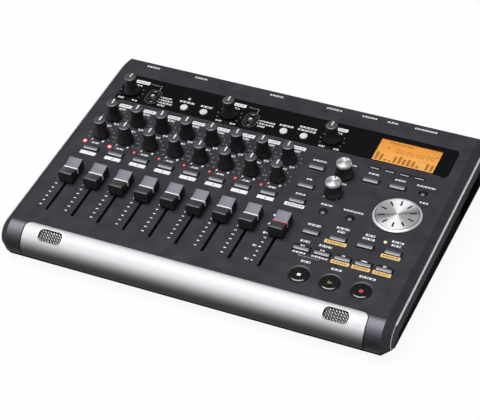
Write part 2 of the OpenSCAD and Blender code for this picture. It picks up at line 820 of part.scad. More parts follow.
module line_power_sockets() {
    color("#202022") {
        for (x = PHONOS) difference() {
            union() {
                out_of_rear(x, -wall - socket_body_d) linear_extrude(socket_body_d)
                    square(phono_body, center = true);
                out_of_rear(x, -wall - 1) cylinder(r = phono_r, h = wall + 1 + phono_out);
            }
            out_of_rear(x, -wall - 4) cylinder(r = phono_bore_r, h = far);
        }
        difference() {
            union() {
                out_of_rear(dc_u, -wall - socket_body_d) linear_extrude(socket_body_d)
                    square(inlet_body, center = true);
                out_of_rear(dc_u, -wall - 1) cylinder(r = dc_r, h = wall + 1 + inlet_out);
            }
            out_of_rear(dc_u, -wall - dc_depth) cylinder(r = dc_bore_r, h = far);
        }
        out_of_rear(dc_u, -wall - dc_depth + insert_gap) cylinder(r = dc_pin_r, h = wall + dc_depth - 1);
        difference() {
            out_of_rear(power_u, -wall - power_body[1]) linear_extrude(power_body[1])
                square([power_body[0], power_body[2]], center = true);
            out_of_rear(power_u, -wall - slider_in - slider_play) linear_extrude(far)
                square([slider[0] + power_travel + 2 * slider_play, slider[1] + 2 * slider_play], center = true);
        }
    }
}

module power_switch() {
    color("#3c3c40") out_of_rear(power_u - power_travel / 2, -wall - slider_in)
        linear_extrude(slider_in + wall + slider_out) square(slider, center = true);
}

// Card socket and data port on blocks that stand on the floor

module card_usb_sockets() {
    socket_low = door_z + 1.6;
    floor_z = foot_h + floor_t;
    card_y = door_y + (door_l - card_size[1]) / 2;
    usb_y = port_y + (port_place - port_size[1]) / 2;
    color("silver") {
        difference() {
            union() {
                translate([bay_back - card_size[0], card_y, socket_low]) cube(card_size);
                translate([bay_back - card_size[0], card_y, floor_z])
                    cube([card_size[0] - wall - 1, card_size[1], socket_low - floor_z + 1]);
            }
            translate([bay_back - card_size[0] + 2, card_y + (card_size[1] - card_slot[0]) / 2, socket_low + 1.2])
                cube([far, card_slot[0], card_slot[1]]);
        }
        difference() {
            union() {
                translate([bay_back - port_size[0], usb_y, socket_low]) cube(port_size);
                translate([bay_back - port_size[0], usb_y, floor_z])
                    cube([port_size[0] - wall - 1, port_size[1], socket_low - floor_z + 1]);
            }
            translate([bay_back - port_size[0] + 2, usb_y + (port_size[1] - port_slot[0]) / 2, socket_low + 1])
                cube([far, port_slot[0], port_slot[1]]);
        }
    }
}

module card_door() {
    color("#1c1c1f") {
        translate([door_x - door_barrel_r, door_y, door_z]) cube([door_t, door_l, door_h]);
        translate([door_x, door_y, door_z]) rotate([-90, 0, 0]) cylinder(r = door_barrel_r, h = door_l);
        translate([door_x, door_y - fit - 1, door_z]) rotate([-90, 0, 0])
            cylinder(r = door_pin_r, h = door_l + 2 * (fit + 1));
    }
}

// Controls

// Flared round knob on a shaft that runs in its potentiometer's bush
module knob(p, base_d, top_d, h) {
    base_r = base_d / 2;
    top_r = top_d / 2;
    steps = 6;
    skirt = 0.8;
    flare = [for (k = [0 : steps])
        [top_r + (base_r - top_r) * pow(1 - k / steps, 2), knob_gap + skirt + (h - knob_gap - 2 * skirt) * k / steps]];
    at(p) rotate_extrude() polygon(concat([[0, knob_gap], [base_r, knob_gap]], flare,
        [[top_r, h - skirt / 2], [top_r - skirt / 2, h], [0, h]]));
    at(p, -board_drop + shaft_end + 0.2) cylinder(d = shaft_d, h = board_drop - shaft_end + knob_gap);
}

module small_knob(p) {
    color("#1b1b1e") knob(p, knob_base_d, knob_top_d, knob_h);
}

module tone_knob(p) {
    color("#1b1b1e") knob(p, tone_base_d, tone_top_d, tone_h);
}

module data_wheel() {
    face_r = wheel_face_d / 2;
    rim_r = wheel_d / 2;
    color("silver") {
        at(WHEEL) rotate_extrude() polygon([[0, knob_gap], [rim_r, knob_gap], [rim_r, wheel_h * 0.45],
            [rim_r - 0.5, wheel_h * 0.65], [face_r + 0.3, wheel_h * 0.8], [face_r, wheel_h], [0, wheel_h]]);
        at(WHEEL, -board_drop + shaft_end + 0.2) cylinder(d = shaft_d, h = board_drop - shaft_end + knob_gap);
    }
}

// Fader cap with a finger valley across it, on a lever that runs in the slot and the track
module fader(i) {
    cap_low = 1.6;
    draft = 0.6;
    front_rise = 0.6;
    valley_flat = 0.6;
    collar = [4.4, 9];
    collar_low = 0.4;
    color("#26262b") {
        at([channel_u(i), fader_v]) along_u(cap_w / 2) polygon([[-cap_l / 2, cap_low], [cap_l / 2, cap_low],
            [cap_l / 2 - draft, cap_h], [valley_flat, cap_h - cap_valley], [-valley_flat, cap_h - cap_valley],
            [-cap_l / 2 + draft, cap_h + front_rise]]);
        at([channel_u(i), fader_v], collar_low) linear_extrude(cap_low) square(collar, center = true);
        at([channel_u(i), fader_v], -board_drop + 1.6) linear_extrude(board_drop)
            square([lever_t, lever_l], center = true);
    }
}

// Key with a retaining flange under the panel and a plunger over its switch
module key_body(p, top) {
    at(p, flange_top - flange_t) linear_extrude(flange_t - flange_top + top) children(0);
    at(p, flange_top - flange_t) linear_extrude(flange_t) children(1);
    at(p, plunger_low) cylinder(d = 3, h = flange_top - plunger_low);
}

module rect_key(p, w, d, top) {
    key_body(p, top) {
        rounded_rect(w, d, 0.5);
        square([w + 2 * flange_w, d + 2 * flange_w], center = true);
    }
}

module round_key(p, d, top) {
    key_body(p, top) {
        circle(d = d);
        circle(d = d + 2 * flange_w);
    }
}

module rec_keys() {
    color("#5a5a63") for (p = REC_KEYS) rect_key(p, key_w, key_d, key_h);
}

module mixer_menu_keys() {
    color("#5a5a63") for (p = MIXER_KEYS) rect_key(p, key_w, key_d, key_h);
}

module locate_keys() {
    color("#5a5a63") for (p = LOCATE_KEYS) rect_key(p, key_w, key_d, key_h);
}

module function_round_keys() {
    low_top = 0.7;
    color("#2a2a2e") {
        for (p = FUNCTION_KEYS) rect_key(p, function_key_w, function_key_d, low_top);
        for (p = ROUND_KEYS) round_key(p, round_key_d, low_top);
    }
}

module input_buttons() {
    color("gainsboro") for (p = INPUT_BUTTONS) round_key(p, input_button_d, input_button_h);
}

module transport_button(p) {
    transport_top = 0.5;
    color("#0e0e10") round_key(p, transport_d, transport_top);
}

module mode_switch(p) {
    color("whitesmoke") {
        at(p, flange_top - mode_foot) linear_extrude(mode_foot - flange_top + mode_top)
            square(mode_lever, center = true);
        at(p, flange_top - mode_foot) linear_extrude(mode_foot) square(mode_foot_size, center = true);
    }
}

// Drawing

top_case();
bottom_case();
front_bar();
microphones();
display_strip();
lcd_module();
main_board();
rotary_pots();
fader_tracks();
tact_switches();
phone_jacks();
mic_sockets();
line_power_sockets();
card_usb_sockets();
leds();
rubber_feet();
case_screws();
for (i = [0 : channels]) fader(i);
for (i = [0 : channels - 1]) small_knob(SENDS[i]);
for (i = [0 : channels - 1]) small_knob(PANS[i]);
for (i = [0 : 1]) small_knob(TRIMS[i]);
small_knob(PHONES);  // phones_knob
for (i = [0 : 1]) tone_knob(TONES[i]);
data_wheel();
for (i = [0 : 1]) mode_switch(MODES[i]);
for (i = [0 : 2]) transport_button(TRANSPORT[i]);
rec_keys();
mixer_menu_keys();
locate_keys();
function_round_keys();
input_buttons();
power_switch();
card_door();
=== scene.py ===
import json
import math

import bmesh
import bpy
from mathutils import Matrix, Vector


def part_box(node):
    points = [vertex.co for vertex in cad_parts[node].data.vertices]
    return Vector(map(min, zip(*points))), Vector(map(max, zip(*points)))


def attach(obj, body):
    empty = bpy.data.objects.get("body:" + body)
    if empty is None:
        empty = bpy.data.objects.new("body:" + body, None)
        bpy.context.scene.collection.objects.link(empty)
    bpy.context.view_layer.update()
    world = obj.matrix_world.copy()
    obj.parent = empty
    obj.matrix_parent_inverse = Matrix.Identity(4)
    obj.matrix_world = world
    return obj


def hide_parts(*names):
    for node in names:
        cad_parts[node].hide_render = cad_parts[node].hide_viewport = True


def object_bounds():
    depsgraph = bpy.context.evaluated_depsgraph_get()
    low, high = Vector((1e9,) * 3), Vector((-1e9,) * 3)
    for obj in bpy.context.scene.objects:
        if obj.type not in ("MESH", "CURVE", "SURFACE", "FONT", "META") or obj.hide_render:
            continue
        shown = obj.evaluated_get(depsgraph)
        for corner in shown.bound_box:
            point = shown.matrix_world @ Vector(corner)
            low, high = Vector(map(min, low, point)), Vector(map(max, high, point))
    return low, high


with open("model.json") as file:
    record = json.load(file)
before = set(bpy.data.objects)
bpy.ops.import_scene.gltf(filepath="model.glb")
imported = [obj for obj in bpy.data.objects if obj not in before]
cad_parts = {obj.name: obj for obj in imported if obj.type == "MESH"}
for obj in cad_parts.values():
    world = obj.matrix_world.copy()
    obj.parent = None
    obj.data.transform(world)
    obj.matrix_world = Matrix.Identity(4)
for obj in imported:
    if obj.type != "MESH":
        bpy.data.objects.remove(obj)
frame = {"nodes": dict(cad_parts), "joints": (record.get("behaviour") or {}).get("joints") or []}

# Looks of a desktop multitrack recorder. Shapes are written in millimetres, most of them in the
# panel's frame: u to the right, v up the slope from the panel's front edge, w out of the panel.

cad_low, cad_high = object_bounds()

# The panel's frame, from the wheel's axis and the rounded nose

MM = 0.001
FRONT_H = 29.0
JOINTS = {joint["child"]: joint for joint in frame["joints"]}
NORMAL = Vector(JOINTS["data_wheel"]["axis"])
WEDGE = math.atan2(-NORMAL.y, NORMAL.z)
WHEEL_AXIS = Vector(JOINTS["data_wheel"]["pos_m"]) / MM
PANEL_Y = WHEEL_AXIS.y - (WHEEL_AXIS.z - FRONT_H) / math.tan(WEDGE)
NOSE_R = (PANEL_Y - cad_low.y / MM) / (1 - math.sin(WEDGE))
PANEL = Matrix.Translation((0, PANEL_Y * MM, FRONT_H * MM)) @ Matrix.Rotation(WEDGE, 4, "X")
NOSE_AXIS = PANEL @ Vector((0, 0, -NOSE_R * MM))
WORLD = Matrix.Identity(4)
HALF_W = cad_high.x / MM

# The rear wall's frame: x to the right, y down, z out of the wall, from the sockets' middle height

REAR_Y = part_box("bottom_case")[1].y / MM
JACK_LOW, JACK_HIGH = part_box("phone_jacks")
SOCKET_Z = (JACK_LOW.z + JACK_HIGH.z) / 2 / MM
REAR = Matrix.Translation((0, REAR_Y * MM, SOCKET_Z * MM)) @ Matrix.Rotation(-math.pi / 2, 4, "X")

WELD = 0.005


def pivot(body):
    """Panel place (u, v) of a turning body's axis."""
    u, v, _ = PANEL.inverted() @ Vector(JOINTS[body]["pos_m"]) / MM
    return u, v


def at(u, v):
    """Frame of a place on the panel."""
    return PANEL @ Matrix.Translation(Vector((u, v, 0)) * MM)


def islands(node, place=PANEL):
    """Boxes of a CAD node's separate solids in a frame, from the front rows to the rear."""
    mesh = bmesh.new()
    mesh.from_mesh(frame["nodes"][node].data)
    bmesh.ops.remove_doubles(mesh, verts=mesh.verts, dist=WELD * MM)
    mesh.transform(Matrix.Scale(1 / MM, 4) @ place.inverted())
    left = set(mesh.verts)
    boxes = []
    while left:
        group = [left.pop()]
        for vert in group:
            for edge in vert.link_edges:
                other = edge.other_vert(vert)
                if other in left:
                    left.remove(other)
                    group.append(other)
        low = [min(vert.co[axis] for vert in group) for axis in range(3)]
        high = [max(vert.co[axis] for vert in group) for axis in range(3)]
        boxes.append((Vector(low), Vector(high)))
    mesh.free()
    return sorted(boxes, key=lambda box: (round(box[0].y + box[1].y), box[0].x))


def middle(low, high):
    """Middle of a box along the frame's first two axes."""
    return (low.x + high.x) / 2, (low.y + high.y) / 2


def middles(node, place=PANEL):
    """Middles of a node's separate solids."""
    return [middle(*box) for box in islands(node, place)]


# Outlines and profiles

CORNERS = ((-1, -1), (1, -1), (1, 1), (-1, 1))
HEXAGON_POINTS = 48
TIP_R = 0.05


def full_turn(count):
    return [2 * math.pi * k / count for k in range(count)]


def circle(u, v, radius, turns):
    return [(u + radius * math.cos(a), v + radius * math.sin(a)) for a in turns]


def disc(u, v, radius, count=24):
    return circle(u, v, radius, full_turn(count))


def rect(u, v, width, depth, radius=0.0, steps=3):
    """A rectangle with rounded corners, counterclockwise."""
    if radius <= 0:
        return [(u + sx * width / 2, v + sy * depth / 2) for sx, sy in CORNERS]
    points = []
    for corner, (sx, sy) in enumerate(CORNERS[1:] + CORNERS[:1]):
        turns = [math.pi / 2 * (corner - 1 + k / steps) for k in range(steps + 1)]
        points += circle(u + sx * (width / 2 - radius), v + sy * (depth / 2 - radius), radius, turns)
    return points


def oval(u, v, size, cut=0.0):
    """A rectangle with round ends, cut narrower all round."""
    width, depth = size[0] - cut, size[1] - cut
    return rect(u, v, width, depth, width / 2, 8)


def hole_in(outline, u, v, radius):
    """A circle with a point under each point of an outline round it."""
    return circle(u, v, radius, [math.atan2(y - v, x - u) for x, y in outline])


def hexagon(u, v, across):
    """A hexagon by its distance across flats."""
    sixth = math.pi / 3
    turns = full_turn(HEXAGON_POINTS)
    reach = [across / 2 / math.cos((a + sixth / 2) % sixth - sixth / 2) for a in turns]
    return [(u + r * math.cos(a), v + r * math.sin(a)) for a, r in zip(turns, reach)]


def level(outline, w):
    return [(u, v, w) for u, v in outline]


def offsets(radius, height, *steps):
    """A profile of (radius, w) pairs written as steps from one radius and height."""
    return [(radius + r, height + w) for r, w in steps]


# Pieces of the scene

SHARP_TURN = 32


def add_object(name, data, place=WORLD):
    thing = bpy.data.objects.new(name, data)
    bpy.context.scene.collection.objects.link(thing)
    thing.matrix_world = place
    return thing


class Shape:
    """Closed solids in millimetres that become one piece of the scene."""

    def __init__(self):
        self.mesh = bmesh.new()

    def skin(self, low, high, material):
        faces = []
        for k in range(len(low)):
            n = (k + 1) % len(low)
            faces.append(self.mesh.faces.new((low[k], low[n], high[n], high[k])))
            faces[-1].material_index = material
        return faces

    def loft(self, rings, material=0):
        """Skins rings with equal numbers of points and caps both ends."""
        skins = [[self.mesh.verts.new(point) for point in ring] for ring in rings]
        caps = [self.mesh.faces.new(skins[0][::-1]), self.mesh.faces.new(skins[-1])]
        for face in caps:
            face.material_index = material
        pairs = zip(skins, skins[1:])
        return caps + [face for low, high in pairs for face in self.skin(low, high, material)]

    def wrap(self, loops, material=0):
        """Skins loops with equal numbers of points, and the last to the first: a closed band."""
        skins = [[self.mesh.verts.new(point) for point in loop] for loop in loops]
        for low, high in zip(skins, skins[1:] + skins[:1]):
            self.skin(low, high, material)

    def prism(self, outline, low, high, material=0):
        self.loft([level(outline, low), level(outline, high)], material)

    def band(self, outer, inner, low, high, material=0):
        """A flat band between two outlines."""
        loops = (inner, low), (outer, low), (outer, high), (inner, high)
        self.wrap([level(*loop) for loop in loops], material)

    def lathe(self, profile, centre=(0, 0), segments=48, material=0):
        """Turns a profile of (radius, w) pairs, none of zero radius, about w."""
        self.loft([level(disc(*centre, radius, segments), w) for radius, w in profile], material)

    def ring(self, profile, centre=(0, 0), segments=48, material=0):
        """Turns a closed profile of (radius, w) pairs about w."""
        self.wrap([level(disc(*centre, radius, segments), w) for radius, w in profile], material)

    def tube(self, path, radius, sides, material=0):
        """A round wire along a path of points."""
        points = [Vector(point) for point in path]
        rings = []
        side = (points[1] - points[0]).orthogonal()
        for k, point in enumerate(points):
            along = (points[min(k + 1, len(points) - 1)] - points[max(k - 1, 0)]).normalized()
            side = (side - along * side.dot(along)).normalized()
            up = along.cross(side)
            turns = full_turn(sides)
            rings.append([point + (side * math.cos(a) + up * math.sin(a)) * radius for a in turns])
        self.loft(rings, material)

    def piece(self, name, body, materials, place=PANEL, replaces=None):
        """Makes the object, in metres, and lets it ride on a body."""
        bmesh.ops.recalc_face_normals(self.mesh, faces=self.mesh.faces)
        self.mesh.transform(Matrix.Scale(MM, 4))
        data = bpy.data.meshes.new(name)
        self.mesh.to_mesh(data)
        self.mesh.free()
        for material in materials:
            data.materials.append(material)
        data.polygons.foreach_set("use_smooth", [True] * len(data.polygons))
        data.set_sharp_from_angle(angle=math.radians(SHARP_TURN))
        thing = add_object(name, data, place)
        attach(thing, body)
        if replaces:
            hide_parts(replaces)


# Materials

NOISE_DETAIL = 3.0
NOISE_SPAN = (0.3, 0.7)
BROAD_PATCHES = 30
SHEEN_CHANGE = 0.05
PAINTED_LIGHT_SHINE = 0.15
PAINTED_LIGHT_SPAN = (-25.0, 90.0)
COOL_METAL = 1.03
SECTOR_TURN = 22.0
RINGS_PER_METRE = 500.0


class Tree:
    """A node tree under construction."""

    def __init__(self, tree):
        self.nodes = tree.nodes
        self.links = tree.links

    def feed(self, socket, value):
        """Sets a socket to a value, or links another node's output to it."""
        if isinstance(value, bpy.types.NodeSocket):
            self.links.new(value, socket)
        else:
            socket.default_value = value

    def node(self, kind, inputs, **settings):
        """Outputs of a new node with inputs, by name or place, and settings."""
        node = self.nodes.new("ShaderNode" + kind)
        for name, value in settings.items():
            setattr(node, name, value)
        for socket, value in inputs.items():
            self.feed(node.inputs[socket], value)
        return node.outputs

    def ramp(self, value, stops):
        """Colours at places from 0 to 1."""
        node = self.nodes.new("ShaderNodeValToRGB")
        marks = node.color_ramp.elements
        while len(marks) < len(stops):
            marks.new(1.0)
        for mark, (place, color) in zip(marks, stops):
            mark.position = place
            mark.color = (*color, 1)
        self.links.new(value, node.inputs["Fac"])
        return node.outputs["Color"]


class Finish(Tree):
    """A material under construction: one principled shader and the procedural nodes that feed it."""

    def __init__(self, name, color, roughness, metallic=0.0):
        self.material = bpy.data.materials.new(name)
        self.material.use_nodes = True
        super().__init__(self.material.node_tree)
        self.shader = self.nodes["Principled BSDF"]
        self.color = color
        self.roughness = roughness
        self.set("Base Color", (*color, 1))
        self.set("Roughness", roughness)
        self.set("Metallic", metallic)

    def set(self, socket, value):
        self.feed(self.shader.inputs[socket], value)
        return self

    def place(self):
        return self.node("TexCoord", {})["Object"]

    def axes(self):
        return self.node("SeparateXYZ", {"Vector": self.place()})

    def noise(self, grain, stretch=(1, 1, 1)):
        """Noise with features of about the given size in millimetres, stretched along the axes."""
        mapping = {"Vector": self.place(), "Scale": [1 / s for s in stretch]}
        place = self.node("Mapping", mapping)["Vector"]
        inputs = {"Vector": place, "Scale": 1 / (grain * MM), "Detail": NOISE_DETAIL}
        return self.node("TexNoise", inputs)["Fac"]

    def mapped(self, value, span, low, high):
        """Maps a value's span to low and high."""
        ends = {"From Min": span[0], "From Max": span[1], "To Min": low, "To Max": high}
        return self.node("MapRange", {"Value": value, **ends})["Result"]

    def spread(self, value, low, high):
        """Maps a noise value's middle range to low and high."""
        return self.mapped(value, NOISE_SPAN, low, high)

    def math(self, operation, *values):
        """An operation on values, each a number or an output of another node."""
        return self.node("Math", dict(enumerate(values)), operation=operation)["Value"]

    def round_nose(self):
        """Share of the painted light's span of turns about the nose's axis: 0 degrees is forwards, 90
        is up.
        """
        axes = self.axes()
        reach = self.math("SUBTRACT", NOSE_AXIS.y, axes["Y"])
        rise = self.math("SUBTRACT", axes["Z"], NOSE_AXIS.z)
        turn = self.math("ARCTAN2", rise, reach)
        return self.mapped(turn, [math.radians(end) for end in PAINTED_LIGHT_SPAN], 0, 1)

    def tint(self, value, change, shade=None):
        """Varies the base colour, or a shade that goes over the surface, by a share to each side."""
        scale = self.spread(value, 1 - change, 1 + change)
        inputs = {0: shade or self.color, "Scale": scale}
        return self.set("Base Color", self.node("VectorMath", inputs, operation="SCALE")["Vector"])

    def sheen_spots(self, value, change=SHEEN_CHANGE):
        low, high = self.roughness - change, self.roughness + change
        return self.set("Roughness", self.spread(value, low, high))

    def bump(self, value, depth):
        """Height of the given depth in millimetres."""
        inputs = {"Height": value, "Distance": depth * MM}
        return self.set("Normal", self.node("Bump", inputs)["Normal"])


def plastic(name, color, roughness, grain=0.3, depth=0.008, change=0.10, coat=0.0, shine=0.5):
    """Moulded plastic: fine grain in height, tone and gloss."""
    finish = Finish(name, color, roughness)
    broad = finish.noise(grain * BROAD_PATCHES)
    finish.tint(broad, change).sheen_spots(broad).bump(finish.noise(grain), depth)
    finish.set("Coat Weight", coat).set("Coat Roughness", 0.08).set("Specular IOR Level", shine)
    return finish.material


def gloss(name, color, roughness=0.08, coat=0.0, shine=0.5):
    """Polished plastic with faint ripple and handling marks."""
    finish = Finish(name, color, roughness)
    marks = finish.noise(3, (6, 1, 1))
    finish.tint(marks, 0.08).sheen_spots(marks, 0.03).bump(finish.noise(14), 0.01)
    finish.set("Coat Weight", coat).set("Coat Roughness", 0.04).set("Specular IOR Level", shine)
    return finish.material


def satin(name, color, roughness, metallic, stretch=(1, 1, 1), painted_light=None):
    """A fine satin grain; painted light, where given, is a cool cast and greys by the turn about the
    nose's axis, with the reflection turned down: painted shade and highlight on the curved face.
    """
    finish = Finish(name, color, roughness, metallic)
    lines = finish.noise(0.2, stretch)
    shade = None
    if painted_light:
        cool, stops = painted_light
        low, high = PAINTED_LIGHT_SPAN
        greys = [((turn - low) / (high - low), (grey, grey, cool * grey)) for turn, grey in stops]
        shade = finish.ramp(finish.round_nose(), greys)
        finish.set("Specular IOR Level", PAINTED_LIGHT_SHINE)
    finish.tint(lines, 0.05, shade).sheen_spots(lines).bump(lines, 0.003)
    return finish.material


def plated(name, color, roughness=0.2):
    """Plated metal with slight haze."""
    finish = Finish(name, color, roughness, metallic=1.0)
    haze = finish.noise(2.5)
    finish.tint(haze, 0.06).sheen_spots(haze, 0.06).bump(finish.noise(0.3), 0.002)
    return finish.material


def ink(name, color):
    """Printed ink with small voids in tone."""
    finish = Finish(name, color, roughness=0.55)
    specks = finish.noise(0.35)
    finish.tint(specks, 0.07).sheen_spots(specks, 0.08).bump(specks, 0.004)
    return finish.material


def lamp(name, color, strength):
    """Tinted lens that glows; the rings round the lenses take the same finish for their painted glow.
    """
    finish = Finish(name, color, roughness=0.25)
    finish.tint(finish.noise(0.8), 0.12).bump(finish.noise(0.4), 0.004)
    finish.set("Emission Color", (*color, 1)).set("Emission Strength", strength)
    finish.set("Coat Weight", 0.6)
    return finish.material


def lit_screen(name, stops, front, rear, strength):
    """Backlit display face, paler towards its front edge."""
    finish = Finish(name, stops[0][1], roughness=0.32)
    share = finish.mapped(finish.axes()["Y"], (front * MM, rear * MM), 0, 1)
    finish.tint(finish.noise(6), 0.05, finish.ramp(share, stops)).bump(finish.noise(0.3), 0.002)
    finish.set("Emission Color", (*stops[0][1], 1)).set("Emission Strength", strength)
    return finish.material


def spun(name, painted_sectors, roughness):
    """Turned metal: fine rings, and two pairs of light and dark wedges by angle round the axis, a
    painted reflection of the kind that turned faces show.
    """
    finish = Finish(name, 3 * (painted_sectors[-1][1],), roughness, metallic=0.55)
    axes = finish.axes()
    angle = finish.math("ARCTAN2", axes["Y"], axes["X"])
    share = finish.math("FRACT", finish.math("MULTIPLY_ADD", angle, 1 / math.pi, -SECTOR_TURN / 180))
    shade = finish.ramp(share, [(place, (grey, grey, COOL_METAL * grey)) for place, grey in painted_sectors])
    inputs = {"Vector": finish.place(), "Scale": RINGS_PER_METRE}
    rings = finish.node("TexWave", inputs, wave_type="RINGS", rings_direction="Z")["Fac"]
    finish.tint(rings, 0.04, shade).bump(rings, 0.004)
    turned = finish.node("Tangent", {}, direction_type="RADIAL", axis="Z")["Tangent"]
    finish.set("Tangent", turned).set("Anisotropic", 0.8).set("Anisotropic Rotation", 0.25)
    return finish.material


# Painted light by turn about the nose's axis: painted shade on the bar, darker towards the bottom and
# near its top edge; a painted highlight high on the case's nose and painted shade below it.
BAR_PAINTED_SHADE = (COOL_METAL, (
    (-16, 0.012), (-5, 0.028), (4, 0.060), (13, 0.145), (22, 0.31), (31, 0.55), (40, 0.80), (55, 0.72),
    (70, 0.70), (78, 0.66), (83, 0.54), (87, 0.33)))
NOSE_PAINTED_LIGHT = (1.2, (
    (-14, 0.003), (0, 0.005), (15, 0.012), (30, 0.045), (45, 0.13), (58, 0.25), (70, 0.28), (77, 0.15),
    (83, 0.045), (88, 0.0285)))
# Painted reflection on turned metal: greys of light and dark wedges round the axis.
PAINTED_REFLECTION_SECTORS = (
    (0.0, 0.30), (0.03, 0.36), (0.12, 0.62), (0.19, 0.92), (0.30, 0.97), (0.52, 0.97), (0.58, 0.92),
    (0.64, 0.70), (0.80, 0.66), (0.95, 0.60), (0.985, 0.40), (1.0, 0.30))
SCREEN_TONES = ((0.0, (0.86, 0.42, 0.115)), (0.6, (0.80, 0.335, 0.060)), (1.0, (0.74, 0.27, 0.030)))
SCREEN_GLOW = 0.10

CHARCOAL = (0.0285, 0.0280, 0.0370)
CASE = plastic("case_charcoal", CHARCOAL, 0.36, 0.35, 0.012, shine=0.7)
# Painted shade: copies of the case plastic without reflection, for the side bevels and the side walls.
CASE_SIDE_PAINTED_SHADE = plastic("case_side_painted_shade", (0.043, 0.042, 0.051), 0.5, 0.35, 0.012, shine=0.0)
CASE_SKIRT_PAINTED_SHADE = plastic("case_skirt_painted_shade", (0.070, 0.070, 0.076), 0.5, 0.35, 0.012, shine=0.0)
# Painted highlight and painted shade on the case's nose.
CASE_NOSE_PAINTED_LIGHT = satin("case_nose_painted_light", CHARCOAL, 0.40, 0.0, painted_light=NOSE_PAINTED_LIGHT)
LOWER = plastic("lower_black", (0.013, 0.013, 0.015), 0.5, 0.45, 0.02, shine=0.0)
# Aluminium with painted shade, darker towards the bottom and near the top edge.
BAR = satin("bar_aluminium", (0.62, 0.62, 0.635), 0.50, 0.25, (6, 1, 1), BAR_PAINTED_SHADE)
# Painted highlight on the case's side edges and round the grille slots; a dimmer copy down the nose's
# ends.
EDGE_PAINTED_HIGHLIGHT = satin("edge_painted_highlight", (0.94, 0.925, 0.94), 0.34, 0.6)
EDGE_PAINTED_HIGHLIGHT_DIM = satin("edge_painted_highlight_dim", (0.38, 0.37, 0.36), 0.45, 0.4)
STRIP = gloss("strip_gloss_black", (0.004, 0.004, 0.005))
KNOB = plastic("knob_soft_black", (0.010, 0.010, 0.0115), 0.48, 0.25)
KNOB_TOP = plastic("knob_top_grey", (0.070, 0.072, 0.090), 0.30, 0.25, 0.006, shine=1.0)
# Fader caps: one plastic in painted tones by which way the faces turn.
CAP_PAINTED_LIT = plastic("cap_painted_lit_grey", (0.205, 0.205, 0.255), 0.40, depth=0.02)
CAP_PAINTED_HALF_SHADE = plastic("cap_painted_half_shade", (0.044, 0.043, 0.051), 0.42, depth=0.02)
CAP_RIDGE_PAINTED_HIGHLIGHT = plastic("cap_ridge_painted_highlight", (0.075, 0.074, 0.085), 0.36)
CAP_PAINTED_SHADE = plastic("cap_painted_shade_dark", (0.010, 0.010, 0.012), 0.45, depth=0.012)
# Keys: a painted highlight on the lip and on the rear and right rims, painted light on the front
# slope; the black is also painted shade on the key walls, and the pale line is also a painted
# highlight on the function keys' lips besides the ring on the input buttons.
KEY = plastic("key_satin_grey", (0.048, 0.048, 0.058), 0.36)
KEY_SLOPE_PAINTED_LIGHT = plastic("key_slope_painted_light", (0.155, 0.155, 0.18), 0.34)
KEY_RIM_PAINTED_HIGHLIGHT = plastic("key_rim_painted_highlight", (0.072, 0.072, 0.086), 0.36)
KEY_LIP_PAINTED_HIGHLIGHT = plastic("key_lip_painted_highlight", (0.38, 0.38, 0.42), 0.34)
PALE_LINE_AND_HIGHLIGHT = plastic("pale_line_and_painted_highlight", (0.55, 0.55, 0.58), 0.34, depth=0.006)
KEY_BLACK_AND_SHADE = plastic("key_black_and_painted_shade", (0.008, 0.008, 0.010), 0.34, depth=0.006)
BUTTON_GLOSS = gloss("button_gloss_black", (0.004, 0.004, 0.005), 0.16, coat=1.0, shine=1.0)
# Pale input buttons; the same finish is the painted glint on the mode levers.
BUTTON_PALE_AND_GLINT = plastic("button_pale_and_painted_glint", (0.87, 0.87, 0.88), 0.25, 0.4, 0.004, change=0.04, coat=0.4)
# Turned metal with a painted reflection in wedges.
SPUN_PAINTED_REFLECTION = spun("wheel_spun_metal_painted_reflection", PAINTED_REFLECTION_SECTORS, 0.34)
RIM = satin("wheel_rim_metal", (0.92, 0.92, 0.94), 0.30, 0.5)
NICKEL = plated("nickel_plate", (0.72, 0.71, 0.69))
GOLD = plated("contact_gold", (0.85, 0.62, 0.25))
STEEL = plated("screw_black_zinc", (0.16, 0.16, 0.17), 0.35)
WIRE = satin("grille_wire", (0.85, 0.85, 0.86), 0.35, 0.5)
# Painted shade: a dark copy of the wire for the under wires.
WIRE_PAINTED_SHADE = satin("grille_wire_painted_shade", (0.10, 0.10, 0.105), 0.45, 0.5)
# Black grille backing; the same finish is painted shade in the wheel's groove, the mode wells, socket
# pin holes and screw recesses.
SHADE = plastic("grille_backing_and_painted_shade", (0.012, 0.012, 0.013), 0.7, 0.4, 0.03)
RUBBER = plastic("foot_rubber", (0.013, 0.013, 0.013), 0.8, 0.6, 0.04)
BOARD = plastic("board_solder_mask", (0.012, 0.075, 0.030), 0.35, 1.2, 0.01, change=0.25)
INNER_METAL = plated("component_plate", (0.55, 0.55, 0.56), 0.35)
INNER_BLACK = plastic("component_black", (0.008, 0.008, 0.008), 0.6, 0.5, 0.015)
WHITE = ink("ink_white", (0.89, 0.89, 0.91))
GREY = ink("ink_grey", (0.36, 0.36, 0.39))
# Dim ink for printed lines; also a painted highlight along the strip's front edge.
DIM_INK_AND_HIGHLIGHT = ink("ink_dim_and_painted_highlight", (0.075, 0.075, 0.08))
BROWN = ink("ink_brown", (0.27, 0.165, 0.05))
SLATE = ink("ink_slate", (0.34, 0.34, 0.36))
BLACK = ink("ink_black", (0.008, 0.008, 0.009))
AMBER = ink("ink_amber", (0.88, 0.61, 0.23))
GREEN = ink("ink_green", (0.17, 0.22, 0.055))
RED = ink("ink_red", (0.60, 0.06, 0.065))
CAP_RED = ink("cap_line_red", (0.66, 0.17, 0.20))
POINTER_GREEN = ink("pointer_green", (0.83, 0.84, 0.66))
POINTER_AMBER = ink("pointer_amber", (0.82, 0.66, 0.47))
LCD_DARK = ink("display_segments", (0.42, 0.155, 0.018))
LAMP_LIT = lamp("lamp_red_lit", (0.95, 0.10, 0.09), 7.0)
LAMP_RED = lamp("lamp_red", (0.62, 0.11, 0.11), 0.45)
